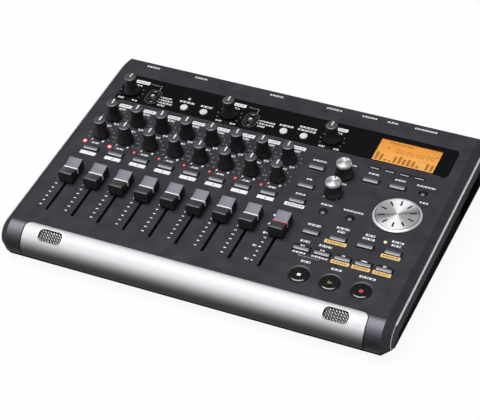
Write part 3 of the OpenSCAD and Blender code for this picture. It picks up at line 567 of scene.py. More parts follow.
LAMP_AMBER = lamp("lamp_amber", (0.95, 0.80, 0.46), 0.4)
# Rings round the lamps: painted glow.
BEZEL_RED_PAINTED_GLOW = lamp("bezel_red_painted_glow", (0.62, 0.03, 0.035), 0.7)
BEZEL_RED_DIM_PAINTED_GLOW = lamp("bezel_red_dim_painted_glow", (0.10, 0.010, 0.012), 0.2)
BEZEL_AMBER_PAINTED_GLOW = lamp("bezel_amber_painted_glow", (0.14, 0.085, 0.02), 0.1)
LAMP_CLEAR = lamp("lamp_clear", (0.55, 0.56, 0.58), 0.1)
INSULATOR_RED = plastic("insulator_red", (0.45, 0.02, 0.02), 0.4, 0.5, 0.015)
INSULATOR_WHITE = plastic("insulator_white", (0.75, 0.75, 0.73), 0.4, 0.5, 0.015)

CAD_SHARP_TURN = 25
NODE_FINISH = {
    "top_case": CASE, "bottom_case": LOWER, "front_bar": BAR, "microphones": SHADE,
    "display_strip": STRIP, "lcd_module": INNER_METAL, "main_board": BOARD, "rotary_pots": INNER_METAL,
    "fader_tracks": INNER_BLACK, "tact_switches": INNER_BLACK, "line_power_sockets": INNER_BLACK,
    "card_usb_sockets": INNER_METAL, "card_door": LOWER,
}
for node, material in NODE_FINISH.items():
    slots = frame["nodes"][node].data.materials
    slots.clear()
    slots.append(material)
    frame["nodes"][node].data.set_sharp_from_angle(angle=math.radians(CAD_SHARP_TURN))

# The case's side walls get copies of its plastic with no reflection and a flat tone of their own,
# painted shade by which way the faces turn; its nose gets painted highlight and shade that darken
# downwards, as on the bar

SIDE_LEAN = 0.3
SKIRT_LEAN = 0.8
case_mesh = frame["nodes"]["top_case"].data
for material in (CASE_SIDE_PAINTED_SHADE, CASE_NOSE_PAINTED_LIGHT, CASE_SKIRT_PAINTED_SHADE):
    case_mesh.materials.append(material)
for face in case_mesh.polygons:
    if abs(face.normal.x) > SKIRT_LEAN:
        face.material_index = 3
    elif abs(face.normal.x) > SIDE_LEAN:
        face.material_index = 1
    elif face.center.y < PANEL_Y * MM:
        face.material_index = 2

# Small radius on the moulded edges of the cases, the bar and the strip

EDGE_R = 0.35
EDGE_TURN = 35
for node in ("top_case", "bottom_case", "front_bar", "display_strip"):
    edge = frame["nodes"][node].modifiers.new("edge_radius", "BEVEL")
    edge.width = EDGE_R * MM
    edge.segments = 2
    edge.limit_method = "ANGLE"
    edge.angle_limit = math.radians(EDGE_TURN)
    edge.harden_normals = True


# Knobs

KNOB_BASE_R = 6.1
KNOB_TOP_R = 4.3
KNOB_H = 14.2
TONE_BASE_R = 7.0
TONE_TOP_R = 5.4
TONE_H = 12.3
TONE_CROWN_H = 2.4
KNOB_GAP = 0.6
SKIRT_H = 0.9
FLARE_STEPS = 14


def knob_side(base_r, top_r, top):
    """Profile of a knob's skirt and of the concave side above it."""
    low = KNOB_GAP + SKIRT_H
    shares = [k / FLARE_STEPS for k in range(FLARE_STEPS + 1)]
    flare = [(top_r + (base_r - top_r) * (1 - share) ** 3, low + (top - low) * share)
             for share in shares]
    return offsets(base_r, KNOB_GAP, (-0.3, 0), (0, 0.3)) + flare


def small_knob(body, pointer):
    shape = Shape()
    shape.lathe(knob_side(KNOB_BASE_R, KNOB_TOP_R, KNOB_H - 0.7) + [(KNOB_TOP_R, KNOB_H - 0.5)])
    steps = (-0.05, -0.6), (0, -0.45), (-0.15, -0.25), (-0.75, -0.02), (-0.9, 0)
    shape.lathe(offsets(KNOB_TOP_R, KNOB_H, *steps) + [(TIP_R, KNOB_H)], material=1)
    mark = rect(0, KNOB_TOP_R / 2 - 0.25, 1.05, KNOB_TOP_R + 0.4, 0.2)
    shape.prism(mark, KNOB_H - 0.5, KNOB_H + 0.08, 2)
    shape.piece(body + "_cap", body, [KNOB, KNOB_TOP, pointer], at(*pivot(body)), body)


def tone_knob(body):
    shape = Shape()
    top = TONE_H - TONE_CROWN_H
    shape.lathe(knob_side(TONE_BASE_R, TONE_TOP_R, top))
    shape.lathe(offsets(TONE_TOP_R, top, (-0.4, -0.2), (0.1, 0.1))
                + offsets(TONE_TOP_R, TONE_H, (0.1, -0.9), (-0.15, -0.55)), material=2)
    shape.lathe(offsets(TONE_TOP_R, TONE_H, (-0.1, -0.7), (-0.1, -0.35), (-0.5, 0))
                + [(TIP_R, TONE_H + 0.05)], material=1)
    shape.prism(rect(0, TONE_TOP_R - 1.4, 0.7, 2.2, 0.15), TONE_H - 0.2, TONE_H + 0.1, 3)
    shape.piece(body + "_cap", body, [KNOB, SPUN_PAINTED_REFLECTION, RIM, BLACK], at(*pivot(body)), body)


WHEEL_R = 17.4
WHEEL_FACE_R = 15.2
WHEEL_H = 2.2
WHEEL_SEGMENTS = 96
WHEEL_MARKS = 10
MARK_FROM = 8.6
MARK_TO = 13.3
MARK_W = 1.3
MARK_SHARE = 0.11


def data_wheel():
    shape = Shape()
    skirt = offsets(WHEEL_R, 0, (-0.6, KNOB_GAP), (-0.2, KNOB_GAP + 0.15), (-0.2, 0.85), (-0.4, 1.1))
    lip = offsets(WHEEL_FACE_R, 0, (0.75, 1.75), (0.5, 1.8), (0.45, 1.5))
    shape.lathe(skirt + lip, segments=WHEEL_SEGMENTS, material=1)
    # A dark ring in the groove between the lip and the face is painted shade.
    groove = offsets(WHEEL_FACE_R, 0, (-0.1, 1.42), (0.48, 1.42), (0.48, 1.6), (-0.1, 1.6))
    shape.ring(groove, segments=WHEEL_SEGMENTS, material=3)
    edge = offsets(WHEEL_FACE_R, WHEEL_H, (0, -0.25), (-0.25, 0))
    shape.lathe([(WHEEL_FACE_R, 1.3)] + edge + [(TIP_R, WHEEL_H)], segments=WHEEL_SEGMENTS)
    mark = rect(0, (MARK_FROM + MARK_TO) / 2, MARK_W, MARK_TO - MARK_FROM, 0.5)
    for k in range(WHEEL_MARKS):
        turn = Matrix.Rotation(2 * math.pi * (k + MARK_SHARE) / WHEEL_MARKS, 2)
        shape.prism([turn @ Vector(point) for point in mark], WHEEL_H - 0.2, WHEEL_H + 0.03, 2)
    shape.piece("data_wheel_disc", "data_wheel", [SPUN_PAINTED_REFLECTION, RIM, BLACK, SHADE],
                at(*pivot("data_wheel")), "data_wheel")


CHANNELS = range(1, 9)
TRIM_KNOBS = ("trim_knob_a", "trim_knob_b", "phones_knob")
for channel in CHANNELS:
    small_knob(f"send_knob_{channel}", POINTER_GREEN)
    small_knob(f"pan_knob_{channel}", WHITE)
for name in TRIM_KNOBS:
    small_knob(name, POINTER_AMBER)
for name in ("high_knob", "low_knob"):
    tone_knob(name)
data_wheel()


# Faders

CAP_W = 10.8
CAP_L = 19.5
CAP_LOW = 1.6
CAP_DRAFT = 0.6
CAP_EDGE_R = 0.45
VALLEY_H = 7.1
FRONT_TOP = 9.4
REAR_TOP = 8.8
REAR_STEPS = 5
REAR_CURVE = 1.12
LINE_W = 1.1
LINE_DROP = 4.0
LINE_PROUD = 0.35
RIDGE_W = 0.9
LEVER = (1.5, 7.0)
LEVER_LOW = -7.0
COLLAR = (4.4, 9.0)
CAP_PAINTED_TONES = (0, 5, 4)
LINE_SPANS = (3, 4, 5)
RING_POINTS = 10
TOP_SIDES = (2, 3, 4, 5, 6)
LOW_SIDES = (0, 8, 9)


def cap_ring(v_low, v_top, top, inset):
    """Cross-section of a fader cap: a rounded-top block between its low and top edges."""
    low_half = CAP_W / 2 - inset
    top_half = CAP_W / 2 - inset - 0.25
    r = CAP_EDGE_R
    across = [(low_half, CAP_LOW), (low_half - 0.12, top - LINE_DROP), (top_half, top - r),
              (top_half - 0.3 * r, top - 0.3 * r), (top_half - r, top)]
    across = across + [(-u, w) for u, w in reversed(across)]
    span = top - CAP_LOW
    return [(u, v_low + (v_top - v_low) * (w - CAP_LOW) / span, w) for u, w in across]


def fader_cap(body, line):
    shape = Shape()
    front, rear = -CAP_L / 2, CAP_L / 2
    ridge = front + CAP_DRAFT + RIDGE_W
    inner = LINE_W / 2
    stations = [(front + 0.25, front + CAP_DRAFT + 0.25, FRONT_TOP - 0.5, 0.25),
                (front, front + CAP_DRAFT, FRONT_TOP - 0.3, 0.05), (ridge, ridge, FRONT_TOP, 0),
                (-inner, -inner, VALLEY_H, 0), (-inner, -inner, VALLEY_H + 0.12, -LINE_PROUD),
                (inner, inner, VALLEY_H + 0.12, -LINE_PROUD), (inner, inner, VALLEY_H, 0)]
    for k in range(1, REAR_STEPS):
        share = k / REAR_STEPS
        v = inner + (rear - CAP_DRAFT - 0.3 - inner) * share
        stations.append((v, v, VALLEY_H + (REAR_TOP - VALLEY_H) * share ** REAR_CURVE, 0))
    stations += [(rear, rear - CAP_DRAFT - 0.3, REAR_TOP, 0),
                 (rear, rear - CAP_DRAFT, REAR_TOP - 0.2, 0.05),
                 (rear - 0.25, rear - CAP_DRAFT - 0.1, REAR_TOP - 0.35, 0.25)]
    # Painted shade on the front face, the sides and the collar, a painted highlight on the front
    # ridge, painted half shade on the front half and painted light on the rear slope.
    faces = shape.loft([cap_ring(*station) for station in stations])
    for place, face in enumerate(faces[2:]):
        span, side = divmod(place, RING_POINTS)
        if span in LINE_SPANS and side not in LOW_SIDES:
            face.material_index = 1
        elif side in TOP_SIDES:
            face.material_index = 2 if span > LINE_SPANS[-1] else CAP_PAINTED_TONES[span]
    shape.prism(rect(0, 0, *COLLAR, 0.6), 0.4, CAP_LOW + 0.2)
    shape.prism(rect(0, 0, *LEVER, 0.2), LEVER_LOW, 0.6, 3)
    (place,) = middles(body)
    finishes = [CAP_PAINTED_SHADE, line, CAP_PAINTED_LIT, INNER_METAL, CAP_PAINTED_HALF_SHADE, CAP_RIDGE_PAINTED_HIGHLIGHT]
    shape.piece(body + "_cap", body, finishes, at(*place), body)


for channel in CHANNELS:
    fader_cap(f"fader_{channel}", WHITE)
fader_cap("fader_master", CAP_RED)


# Keys and buttons

KEY_SIZE = (12.0, 5.0)
KEY_H = 1.8
KEY_SLOPE_L = 2.6
KEY_SUNK = -1.2
SEARCH_KEYS = 5
FUNCTION_SIZE = (7.8, 2.6)
FUNCTION_SLOPE_L = 1.1
LOW_KEY_H = 0.7
ROUND_R = 3.0
INPUT_R = 2.85
INPUT_H = 0.9
TRANSPORT_R = 6.85
TRANSPORT_H = 0.5
ICON_H = 0.03
LIP_FALL = 0.32


def bar_key(shape, u, v, size, top, front, finishes):
    """A key with painted shade on its walls, a painted highlight on its rear and right edges, and a
    front slope in three painted tones of light.
    """
    body, rest, slope, edge, wall = finishes
    width, depth = size
    levels = [(0, 0, KEY_SUNK), (0.05, 0.05, 0.3 * top), (0.25, 0.2, 0.55 * top),
              (0.35, 0.4 * front, 0.75 * top), (0.4, 0.7 * front, 0.92 * top), (0.6, front, top)]
    rings = []
    for inset, lead, w in levels:
        outline = rect(u, v + (lead - inset) / 2, width - 2 * inset, depth - lead - inset, 0.4)
        rings.append(level(outline, w))
    tones = (wall, wall, edge, slope, rest)
    for place, face in enumerate(shape.loft(rings, body)[2:]):
        face.normal_update()
        tone = tones[place // len(rings[0])]
        if tone == wall or (face.normal.y < -0.1 and abs(face.normal.x) < 0.1):
            face.material_index = tone
        elif tone == rest and max(face.normal.x, face.normal.y) > 0.3:
            face.material_index = rest
        else:
            face.material_index = wall if tone == edge else body


def lipped_button(shape, place, radius, top, lip, material=0):
    """A round button with a flat face and a lip of the given width that falls away to its edge."""
    rim = radius - 0.06
    low = top - LIP_FALL * lip
    face = offsets(rim - lip, top, (0, -0.02), (-0.2, 0), (-0.4, 0)) + [(TIP_R, top)]
    shape.lathe([(radius, KEY_SUNK), (radius, low - 0.2), (rim, low)] + face, place, 56, material)


def moved(outline, u, v):
    return [(u + x, v + y) for x, y in outline]


def key_group(node, search=()):
    """Rows of bar keys; the search keys are dark and carry a pale arrow or line."""
    shape = Shape()
    for place in middles(node):
        bar_key(shape, *place, KEY_SIZE, KEY_H, KEY_SLOPE_L, (2 if place in search else 0, 5, 4, 1, 2))
    for place, icon in zip(search, SEARCH_ICONS):
        for outline in icon:
            shape.prism(moved(outline, *place), KEY_H - 0.1, KEY_H + ICON_H, 3)
    finishes = [KEY, KEY_LIP_PAINTED_HIGHLIGHT, KEY_BLACK_AND_SHADE, WHITE, KEY_SLOPE_PAINTED_LIGHT, KEY_RIM_PAINTED_HIGHLIGHT]
    shape.piece(node + "_tops", node, finishes, replaces=node)


def arrow(u, turn):
    """A small triangle that points left or right."""
    return [(u - 0.8 * turn, 0.35), (u + 0.8 * turn, 1.2), (u - 0.8 * turn, 2.05)][::turn]


SEARCH_ICONS = (
    (arrow(-0.9, -1), arrow(0.9, -1)), (arrow(-0.9, 1), arrow(0.9, 1)), (rect(0, 1.2, 2.4, 0.9),),
    (rect(0, 1.2, 4.4, 0.9),), (rect(-0.9, 1.2, 0.7, 1.7), arrow(0.6, 1)),
)
LOCATE_PLACES = middles("locate_keys")
SEARCH_PLACES = LOCATE_PLACES[:SEARCH_KEYS]
key_group("rec_keys")
key_group("mixer_menu_keys")
key_group("locate_keys", SEARCH_PLACES)


def function_round_keys():
    shape = Shape()
    for low, high in islands("function_round_keys"):
        place = middle(low, high)
        if high.x - low.x > 1.5 * (high.y - low.y):
            bar_key(shape, *place, FUNCTION_SIZE, LOW_KEY_H, FUNCTION_SLOPE_L, (0, 0, 3, 1, 0))
        else:
            lipped_button(shape, place, ROUND_R, LOW_KEY_H, 0.5, 2)
            steps = (1.9, -0.1), (1.85, 0.02), (1.3, 0.22), (1.1, 0.24), (TIP_R, 0.24)
            shape.lathe(offsets(0, LOW_KEY_H, *steps), place, 40, 2)
    finishes = [KEY_BLACK_AND_SHADE, PALE_LINE_AND_HIGHLIGHT, BUTTON_GLOSS, KEY_SLOPE_PAINTED_LIGHT]
    shape.piece("function_round_keys_tops", "function_round_keys", finishes,
                replaces="function_round_keys")


def input_buttons():
    shape = Shape()
    edge = offsets(INPUT_R, INPUT_H, (0, -0.35), (-0.12, -0.1), (-0.4, 0))
    for place in middles("input_buttons"):
        shape.lathe([(INPUT_R, KEY_SUNK)] + edge + [(TIP_R, INPUT_H)], place, 40)
        steps = (1.3, -0.05), (1.8, -0.05), (1.8, 0.02), (1.3, 0.02)
        shape.ring(offsets(0, INPUT_H, *steps), place, 32, 1)
    shape.piece("input_buttons_tops", "input_buttons", [BUTTON_PALE_AND_GLINT, PALE_LINE_AND_HIGHLIGHT],
                replaces="input_buttons")


def transport_button(body, icon, material):
    shape = Shape()
    (place,) = middles(body)
    lipped_button(shape, place, TRANSPORT_R, TRANSPORT_H, 0.8)
    shape.prism(moved(icon, *place), TRANSPORT_H - 0.2, TRANSPORT_H + ICON_H, 1)
    shape.piece(body + "_top", body, [BUTTON_GLOSS, material], replaces=body)


function_round_keys()
input_buttons()
transport_button("stop_button", rect(0.1, -0.7, 2.5, 2.4), WHITE)
transport_button("play_button", [(-1.4, -2.2), (2.2, -0.7), (-1.4, 0.8)], GREEN)
transport_button("record_button", disc(0.2, -0.8, 1.55), RED)


# Mode switches in their oval wells

WELL = (7.6, 12.8)
WELL_SLOT = (3.9, 10.2)
WELL_LINE = (10.6, 16.6)
WELL_LINE_CUT = 1.2
WELL_LOW = 0.005
MODE_LEVER = ((3.0, 3.2, -3.0), (3.0, 3.2, 0.3), (2.7, 2.6, 1.1), (2.3, 1.9, 1.4))
# A painted glint on the lever.
MODE_PAINTED_GLINT = ((-1.7, -0.9), (1.0, -0.9), (-0.1, 1.2))
GLINT_LEVELS = ((1.0, 1.3), (0.8, 1.65))


def mode_switch(body):
    ((u, v),) = middles(body)
    lever = Shape()
    lever.loft([level(rect(u, v, width, depth, 0.4), w) for width, depth, w in MODE_LEVER])
    # The pale facet on the lever is a painted glint.
    lever.loft([[(u + x * size, v + y * size, w) for x, y in MODE_PAINTED_GLINT]
                for size, w in GLINT_LEVELS], 1)
    lever.piece(body + "_lever", body, [KEY_SLOPE_PAINTED_LIGHT, BUTTON_PALE_AND_GLINT], replaces=body)
    well = Shape()
    outer, crest, inner = (oval(u, v, WELL, cut) for cut in (0, 0.7, 1.5))
    well.wrap([level(inner, WELL_LOW), level(outer, WELL_LOW), level(outer, 0.12), level(crest, 0.4),
               level(inner, 0.1)])
    # A dark sheet inside the well round the slot is painted shade.
    well.band(inner, rect(u, v, *WELL_SLOT, 0.6, 8), WELL_LOW, 0.06, 1)
    well.band(oval(u, v, WELL_LINE), oval(u, v, WELL_LINE, WELL_LINE_CUT), WELL_LOW, 0.05, 2)
    well.piece(body + "_well", "case", [BUTTON_GLOSS, SHADE, DIM_INK_AND_HIGHLIGHT])


MODES = ("mode_switch_a", "mode_switch_b")
for name in MODES:
    mode_switch(name)


# Lamps: domes in dark rings; the rings round the amber and red domes glow faintly, and brightest round
# the lit ones: painted glow from the lamps

LENS_R = 1.1
LENS_TOP = 0.4
LENS_RISE = 0.45
LENS_LOW = -9.0
LENS_TURNS = (0, 0.35, 0.7, 1.05, 1.4, 1.52)
BEZEL_W = 0.55


def lamps():
    shape = Shape()
    lenses = [LAMP_AMBER, LAMP_LIT, LAMP_RED, LAMP_CLEAR]
    bezels = [BEZEL_AMBER_PAINTED_GLOW, BEZEL_RED_PAINTED_GLOW, BEZEL_RED_DIM_PAINTED_GLOW, BLACK]
    finishes = [0] + 2 * [1] + 6 * [2] + [3]
    dome = [(LENS_R * math.cos(a), LENS_TOP + LENS_RISE * math.sin(a)) for a in LENS_TURNS]
    steps = (0.04, 0.005), (BEZEL_W, 0.005), (BEZEL_W - 0.1, 0.1), (0.1, 0.16)
    for place, finish in zip(middles("leds"), finishes):
        shape.lathe([(LENS_R, LENS_LOW)] + dome, place, 24, finish)
        shape.ring(offsets(LENS_R, 0, *steps), place, 24, finish + len(lenses))
    shape.piece("lamp_lenses", "case", lenses + bezels, replaces="leds")


lamps()


# Print: thin closed blocks. Words are rows of plain bars.

PRINT_LOW = 0.005
PRINT_H = 0.05
SECOND_LOW = PRINT_LOW + PRINT_H
CAPTION_H = 1.6
SMALL_H = 1.5
TALL_H = 1.9
LETTER_W = (0.62, 0.5, 0.7, 0.56, 0.66, 0.42)
LETTER_GAP = 0.24
SPLIT_BAR = 0.34
WORD_SHARE = 0.93
WORD_SHIFT = -0.5
STROKE_W = 0.4
DIAL_R = 9.0
DIAL_DOTS = 11
DIAL_SWEEP = 300.0
PRINT_INKS = [WHITE, GREY, BLACK, AMBER, BROWN, SLATE, DIM_INK_AND_HIGHLIGHT]
IN_WHITE, IN_GREY, IN_BLACK, IN_AMBER, IN_BROWN, IN_SLATE, IN_DIM_AND_HIGHLIGHT = range(7)
SEVEN_SEGMENTS = {"0": "abcdef", "1": "bc", "2": "abdeg", "3": "abcdg", "4": "bcfg", "5": "acdfg",
                  "6": "acdefg", "7": "abc", "8": "abcdefg"}


def stamp(shape, outline, material=IN_WHITE, low=PRINT_LOW, thick=PRINT_H):
    """One printed block."""
    shape.prism(outline, low, low + thick, material)


def caption(shape, u, v, length, height=CAPTION_H, low=PRINT_LOW, material=IN_WHITE):
    """A row of bars as long as a printed word, about its middle; every other bar is split."""
    length = WORD_SHARE * length
    u = u + WORD_SHIFT
    step = height * (sum(LETTER_W) / len(LETTER_W) + LETTER_GAP)
    count = max(round(length / step), 2)
    widths = [LETTER_W[k % len(LETTER_W)] for k in range(count)]
    size = length / (sum(widths) + LETTER_GAP * (count - 1))
    x = u - length / 2
    for k, share in enumerate(widths):
        centre = x + share * size / 2
        if k % 2:
            for side in (-1, 1):
                rise = side * height * (1 - SPLIT_BAR) / 2
                stamp(shape, rect(centre, v + rise, share * size, SPLIT_BAR * height), material, low)
        else:
            stamp(shape, rect(centre, v, share * size, height), material, low)
        x += (share + LETTER_GAP) * size


def captions(shape, place, words):
    """Words about a place, each by its side, rise, length and height."""
    u, v = place
    for side, rise, length, height in words:
        caption(shape, u + side, v + rise, length, height)


def plate(shape, u, v, length, height=3.5, material=IN_WHITE):
    """A printed field."""
    stamp(shape, rect(u, v, length, height, 0.4), material)


def labelled_plate(shape, u, v, length, material=IN_WHITE):
    """A printed field with a row of darker bars."""
    length = WORD_SHARE * length
    plate(shape, u + WORD_SHIFT, v, length, 3.4, material)
    shade = IN_BROWN if material == IN_AMBER else IN_SLATE
    caption(shape, u, v, 0.84 * length, SMALL_H, SECOND_LOW, shade)


def stroke(shape, start, end):
    """A straight printed line."""
    start, end = Vector(start), Vector(end)
    along = (end - start).normalized() * STROKE_W / 2
    side = Vector((-along.y, along.x))
    corners = [start - along - side, end + along - side, end + along + side, start - along + side]
    stamp(shape, [tuple(corner) for corner in corners], IN_GREY)


def dial(shape, u, v, size=0.52):
    """Dots round a knob from one end of its turn to the other."""
    for k in range(DIAL_DOTS):
        a = math.radians(-90 - (360 - DIAL_SWEEP) / 2 - DIAL_SWEEP * k / (DIAL_DOTS - 1))
        stamp(shape, disc(u + DIAL_R * math.cos(a), v + DIAL_R * math.sin(a), size, 10), IN_GREY)


def numeral(shape, sign, u, v, height, material, low, thick=PRINT_H):
    """A digit of plain bars."""
    half_w, half_h = 0.26 * height, 0.5 * height
    bar = 0.15 * height
    places = {"a": (0, half_h, True), "d": (0, -half_h, True), "g": (0, 0, True),
              "b": (half_w, half_h / 2, False), "c": (half_w, -half_h / 2, False),
              "e": (-half_w, -half_h / 2, False), "f": (-half_w, half_h / 2, False)}
    for segment in SEVEN_SEGMENTS[sign]:
        x, y, flat = places[segment]
        size = (2 * half_w - bar, bar) if flat else (bar, half_h - bar)
        stamp(shape, rect(u + x, v + y, *size), material, low, thick)


# Display

SCREEN_RIM = 1.0
SCREEN_PLAY = 0.3
SCREEN_TOP = -0.72
SEGMENT_H = 0.03
LEVEL_BARS = (0.34, 0.27, 0.08, 0.07, 0.27, 0.33, 0.26, 0.29, 0.26, 0.12, 0, 0.30, 0.28)
DIGIT_H = 3.6
DIGIT_STEP = 3.2
PAIR_STEP = 0.165


def display():
    ((low, high),) = islands("lcd_module")
    width = high.x - low.x - 2 * SCREEN_RIM - SCREEN_PLAY
    depth = high.y - low.y - 2 * SCREEN_RIM - SCREEN_PLAY
    u, v = middle(low, high)
    left, front = u - width / 2, v - depth / 2
    face = lit_screen("display_amber", SCREEN_TONES, front, front + depth, SCREEN_GLOW)
    shape = Shape()
    shape.prism(rect(u, v, width, depth, 0.3), high.z + 0.005, SCREEN_TOP)
    pitch = width / (len(LEVEL_BARS) + 0.4)
    marks = []
    for k, share in enumerate(LEVEL_BARS):
        if share:
            rise = front + 1.6 + share * depth / 2
            marks.append(rect(left + pitch * (k + 0.7), rise, 0.62 * pitch, share * depth))
    for k in range(3):
        marks.append(disc(left + width * (0.42 + PAIR_STEP * k), front + 0.53 * depth, 0.35, 8))
    marks.append(disc(left + 0.17 * width, front + 0.65 * depth, 1.0, 6))
    marks.append(rect(left + 0.95 * width, front + 0.72 * depth, 1.3, 1.6))
    for mark in marks:
        stamp(shape, mark, 1, SCREEN_TOP, SEGMENT_H)
    for pair in range(4):
        for place in (0, 1):
            start = left + width * (0.33 + PAIR_STEP * pair) + DIGIT_STEP * place
            numeral(shape, "0", start, front + 0.60 * depth, DIGIT_H, 1, SCREEN_TOP, SEGMENT_H)
    caption(shape, left + 0.34 * width, front + 0.90 * depth, 0.4 * width, CAPTION_H, SCREEN_TOP, 1)
    shape.piece("display_screen", "case", [face, LCD_DARK])


# Print beside the channel controls: words by side, rise, length and height

TICKS = 11
TICK_FROM = 18.6
TICK_STEP = 4.6
TICK_SIDE = -6.6
MASTER_DOT_SIDE = -9.1
MASTER_WORD_SIDE = -9.9
REC_PLATE_DROP = -5.2
REC_CAPTION_RISE = 6.5
REC_DASH_RISE = 6.0
SEND_WORDS = ((2.2, 10.8, 5.9, TALL_H), (1.4, -9.8, 3.2, CAPTION_H), (5.5, -6.2, 3.9, CAPTION_H))
PAN_DOT_DROP = -6.6
PAN_DOTS = ((-4.2, 0.6), (4.6, 0.85))
REC_PLACES = middles("rec_keys")


def channel_print(shape, channel):
    u, send_v = pivot(f"send_knob_{channel}")
    _, pan_v = pivot(f"pan_knob_{channel}")
    _, rec_v = REC_PLACES[channel - 1]
    plate_v, dash_v = rec_v + REC_PLATE_DROP, rec_v + REC_DASH_RISE
    dial(shape, u, send_v)
    dial(shape, u, pan_v)
    labelled_plate(shape, u + 2.8, send_v + 14.6, 10.5)
    captions(shape, (u, send_v), SEND_WORDS)
    for side, size in PAN_DOTS:
        stamp(shape, disc(u + side, pan_v + PAN_DOT_DROP, size, 12))
    caption(shape, u + 0.6, rec_v + REC_CAPTION_RISE, 5.7)
    stroke(shape, (u - 4.6, dash_v), (u - 2.9, dash_v))
    plate(shape, u - 0.3, plate_v, 12.4)
    numeral(shape, str(channel), u - 0.3, plate_v, TALL_H, IN_BLACK, SECOND_LOW)


def tick_v(tick):
    return TICK_FROM + TICK_STEP * tick


def fader_scale(shape, u):
    for tick in range(TICKS):
        stamp(shape, rect(u + TICK_SIDE, tick_v(tick), 1.9, 0.8, 0.2))


def master_print(shape):
    ((u, _),) = middles("fader_master")
    fader_scale(shape, u)
    for tick in (10, 8, 6):
        stamp(shape, disc(u + MASTER_DOT_SIDE, tick_v(tick), 1.0, 14))
    for tick in (3, 0):
        caption(shape, u + MASTER_WORD_SIDE, tick_v(tick), 2.9)
    labelled_plate(shape, u + 0.1, REC_PLACES[0][1] + REC_PLATE_DROP, 16.0)


# Print beside the keys: lengths of the words, in the order of the keys from the front rows to the rear

MIXER_WORDS = (7.4, 4.2, 11.0, 8.3, 8.2)
ROUND_WORDS = (9.0, 15.3, 14.5)
LOCATE_WORDS = ((10.0,), (5.9, 9.9), (9.1, 7.2), (7.1, 9.0))
LOCATE_FIELDS = {1: 17.0, 3: 14.7}
SEARCH_WORDS = (7.2, 9.8)
SEARCH_NOTES = (9.8, 12.3)
SEARCH_FIELDS = 14.0
TRANSPORT_WORDS = {"stop_button": 7.1, "play_button": 7.7, "record_button": 12.3}
WORD_RISE = 7.3
WORD_LEAD = 3.5
FIELD_DROP = -4.1
ROUND_WORD_SIDE = 0.4
ROUND_WORD_RISE = 6.8
BRACKET_DROPS = (-6.6, -5.8)


def key_print(shape):
    for (u, v), length in zip(middles("mixer_menu_keys"), MIXER_WORDS):
        caption(shape, u, v + WORD_RISE, length)
    for (u, v), length in zip(middles("function_round_keys"), ROUND_WORDS):
        caption(shape, u + ROUND_WORD_SIDE, v + ROUND_WORD_RISE, length)
    for k, ((u, v), lengths) in enumerate(zip(LOCATE_PLACES[SEARCH_KEYS:], LOCATE_WORDS)):
        for row, length in enumerate(lengths):
            caption(shape, u, v + WORD_RISE + WORD_LEAD * row, length, TALL_H)
        if k in LOCATE_FIELDS:
            labelled_plate(shape, u, v + FIELD_DROP, LOCATE_FIELDS[k], IN_AMBER)
    for (u, v), word, note in zip(SEARCH_PLACES, SEARCH_WORDS, SEARCH_NOTES):
        caption(shape, u, v + WORD_RISE, word, TALL_H)
        caption(shape, u, v + FIELD_DROP, note)
    for u, v in SEARCH_PLACES[len(SEARCH_WORDS):]:
        labelled_plate(shape, u, v + FIELD_DROP, SEARCH_FIELDS, IN_AMBER)
    (first, v), (second, _) = SEARCH_PLACES[:2]
    low, high = (v + drop for drop in BRACKET_DROPS)
    stroke(shape, (first, low), (second, low))
    for u in (first, second):
        stroke(shape, (u, low), (u, high))
    for body, length in TRANSPORT_WORDS.items():
        captions(shape, middles(body)[0], [(0.2, 12.4, length, TALL_H)])


# Print beside the tone knobs and the wheel, on the strip and on the rear margin

KNOB_WORDS = {
    "high_knob": ((3.9, 11.5, 3.3, 1.3), (4.0, -9.3, 3.3, 1.3)),
    "low_knob": ((-4.6, -4.7, 0.9, 1.3), (4.7, -4.8, 0.9, 1.3)),
    "data_wheel": ((13.1, 18.7, 6.4, CAPTION_H),),
}
TRIM_FIELDS = (12.1, 10.3, 8.5)
TRIM_WORDS = (4.4, 3.4, 3.9)
MODE_WORDS = ((8.1, 9.7, 10.8, 5.9), (12.1, 12.1, 6.0))
MODE_LEAD = 2.9
MODE_WORD_SIDE = 7.4
MODE_WORD_RISE = 1.4
MODE_DOT_SIDE = 6.0
LEAD_START = 10.4
LEAD_SIDE = 1.4
LEAD_RISE = 12.8
INPUT_WORDS = ((12.8,), (10.1,), (11.3,), (14.6, 13.9))
INPUT_LEAD = 3.2
INPUT_WORD_SIDE = 0.4
INPUT_WORD_RISE = 6.2
INPUT_WORD_H = 1.8
REAR_WORD_V = 184.3
INLET_U, POWER_U, _, *PHONO_US = (u for u, _ in middles("line_power_sockets"))


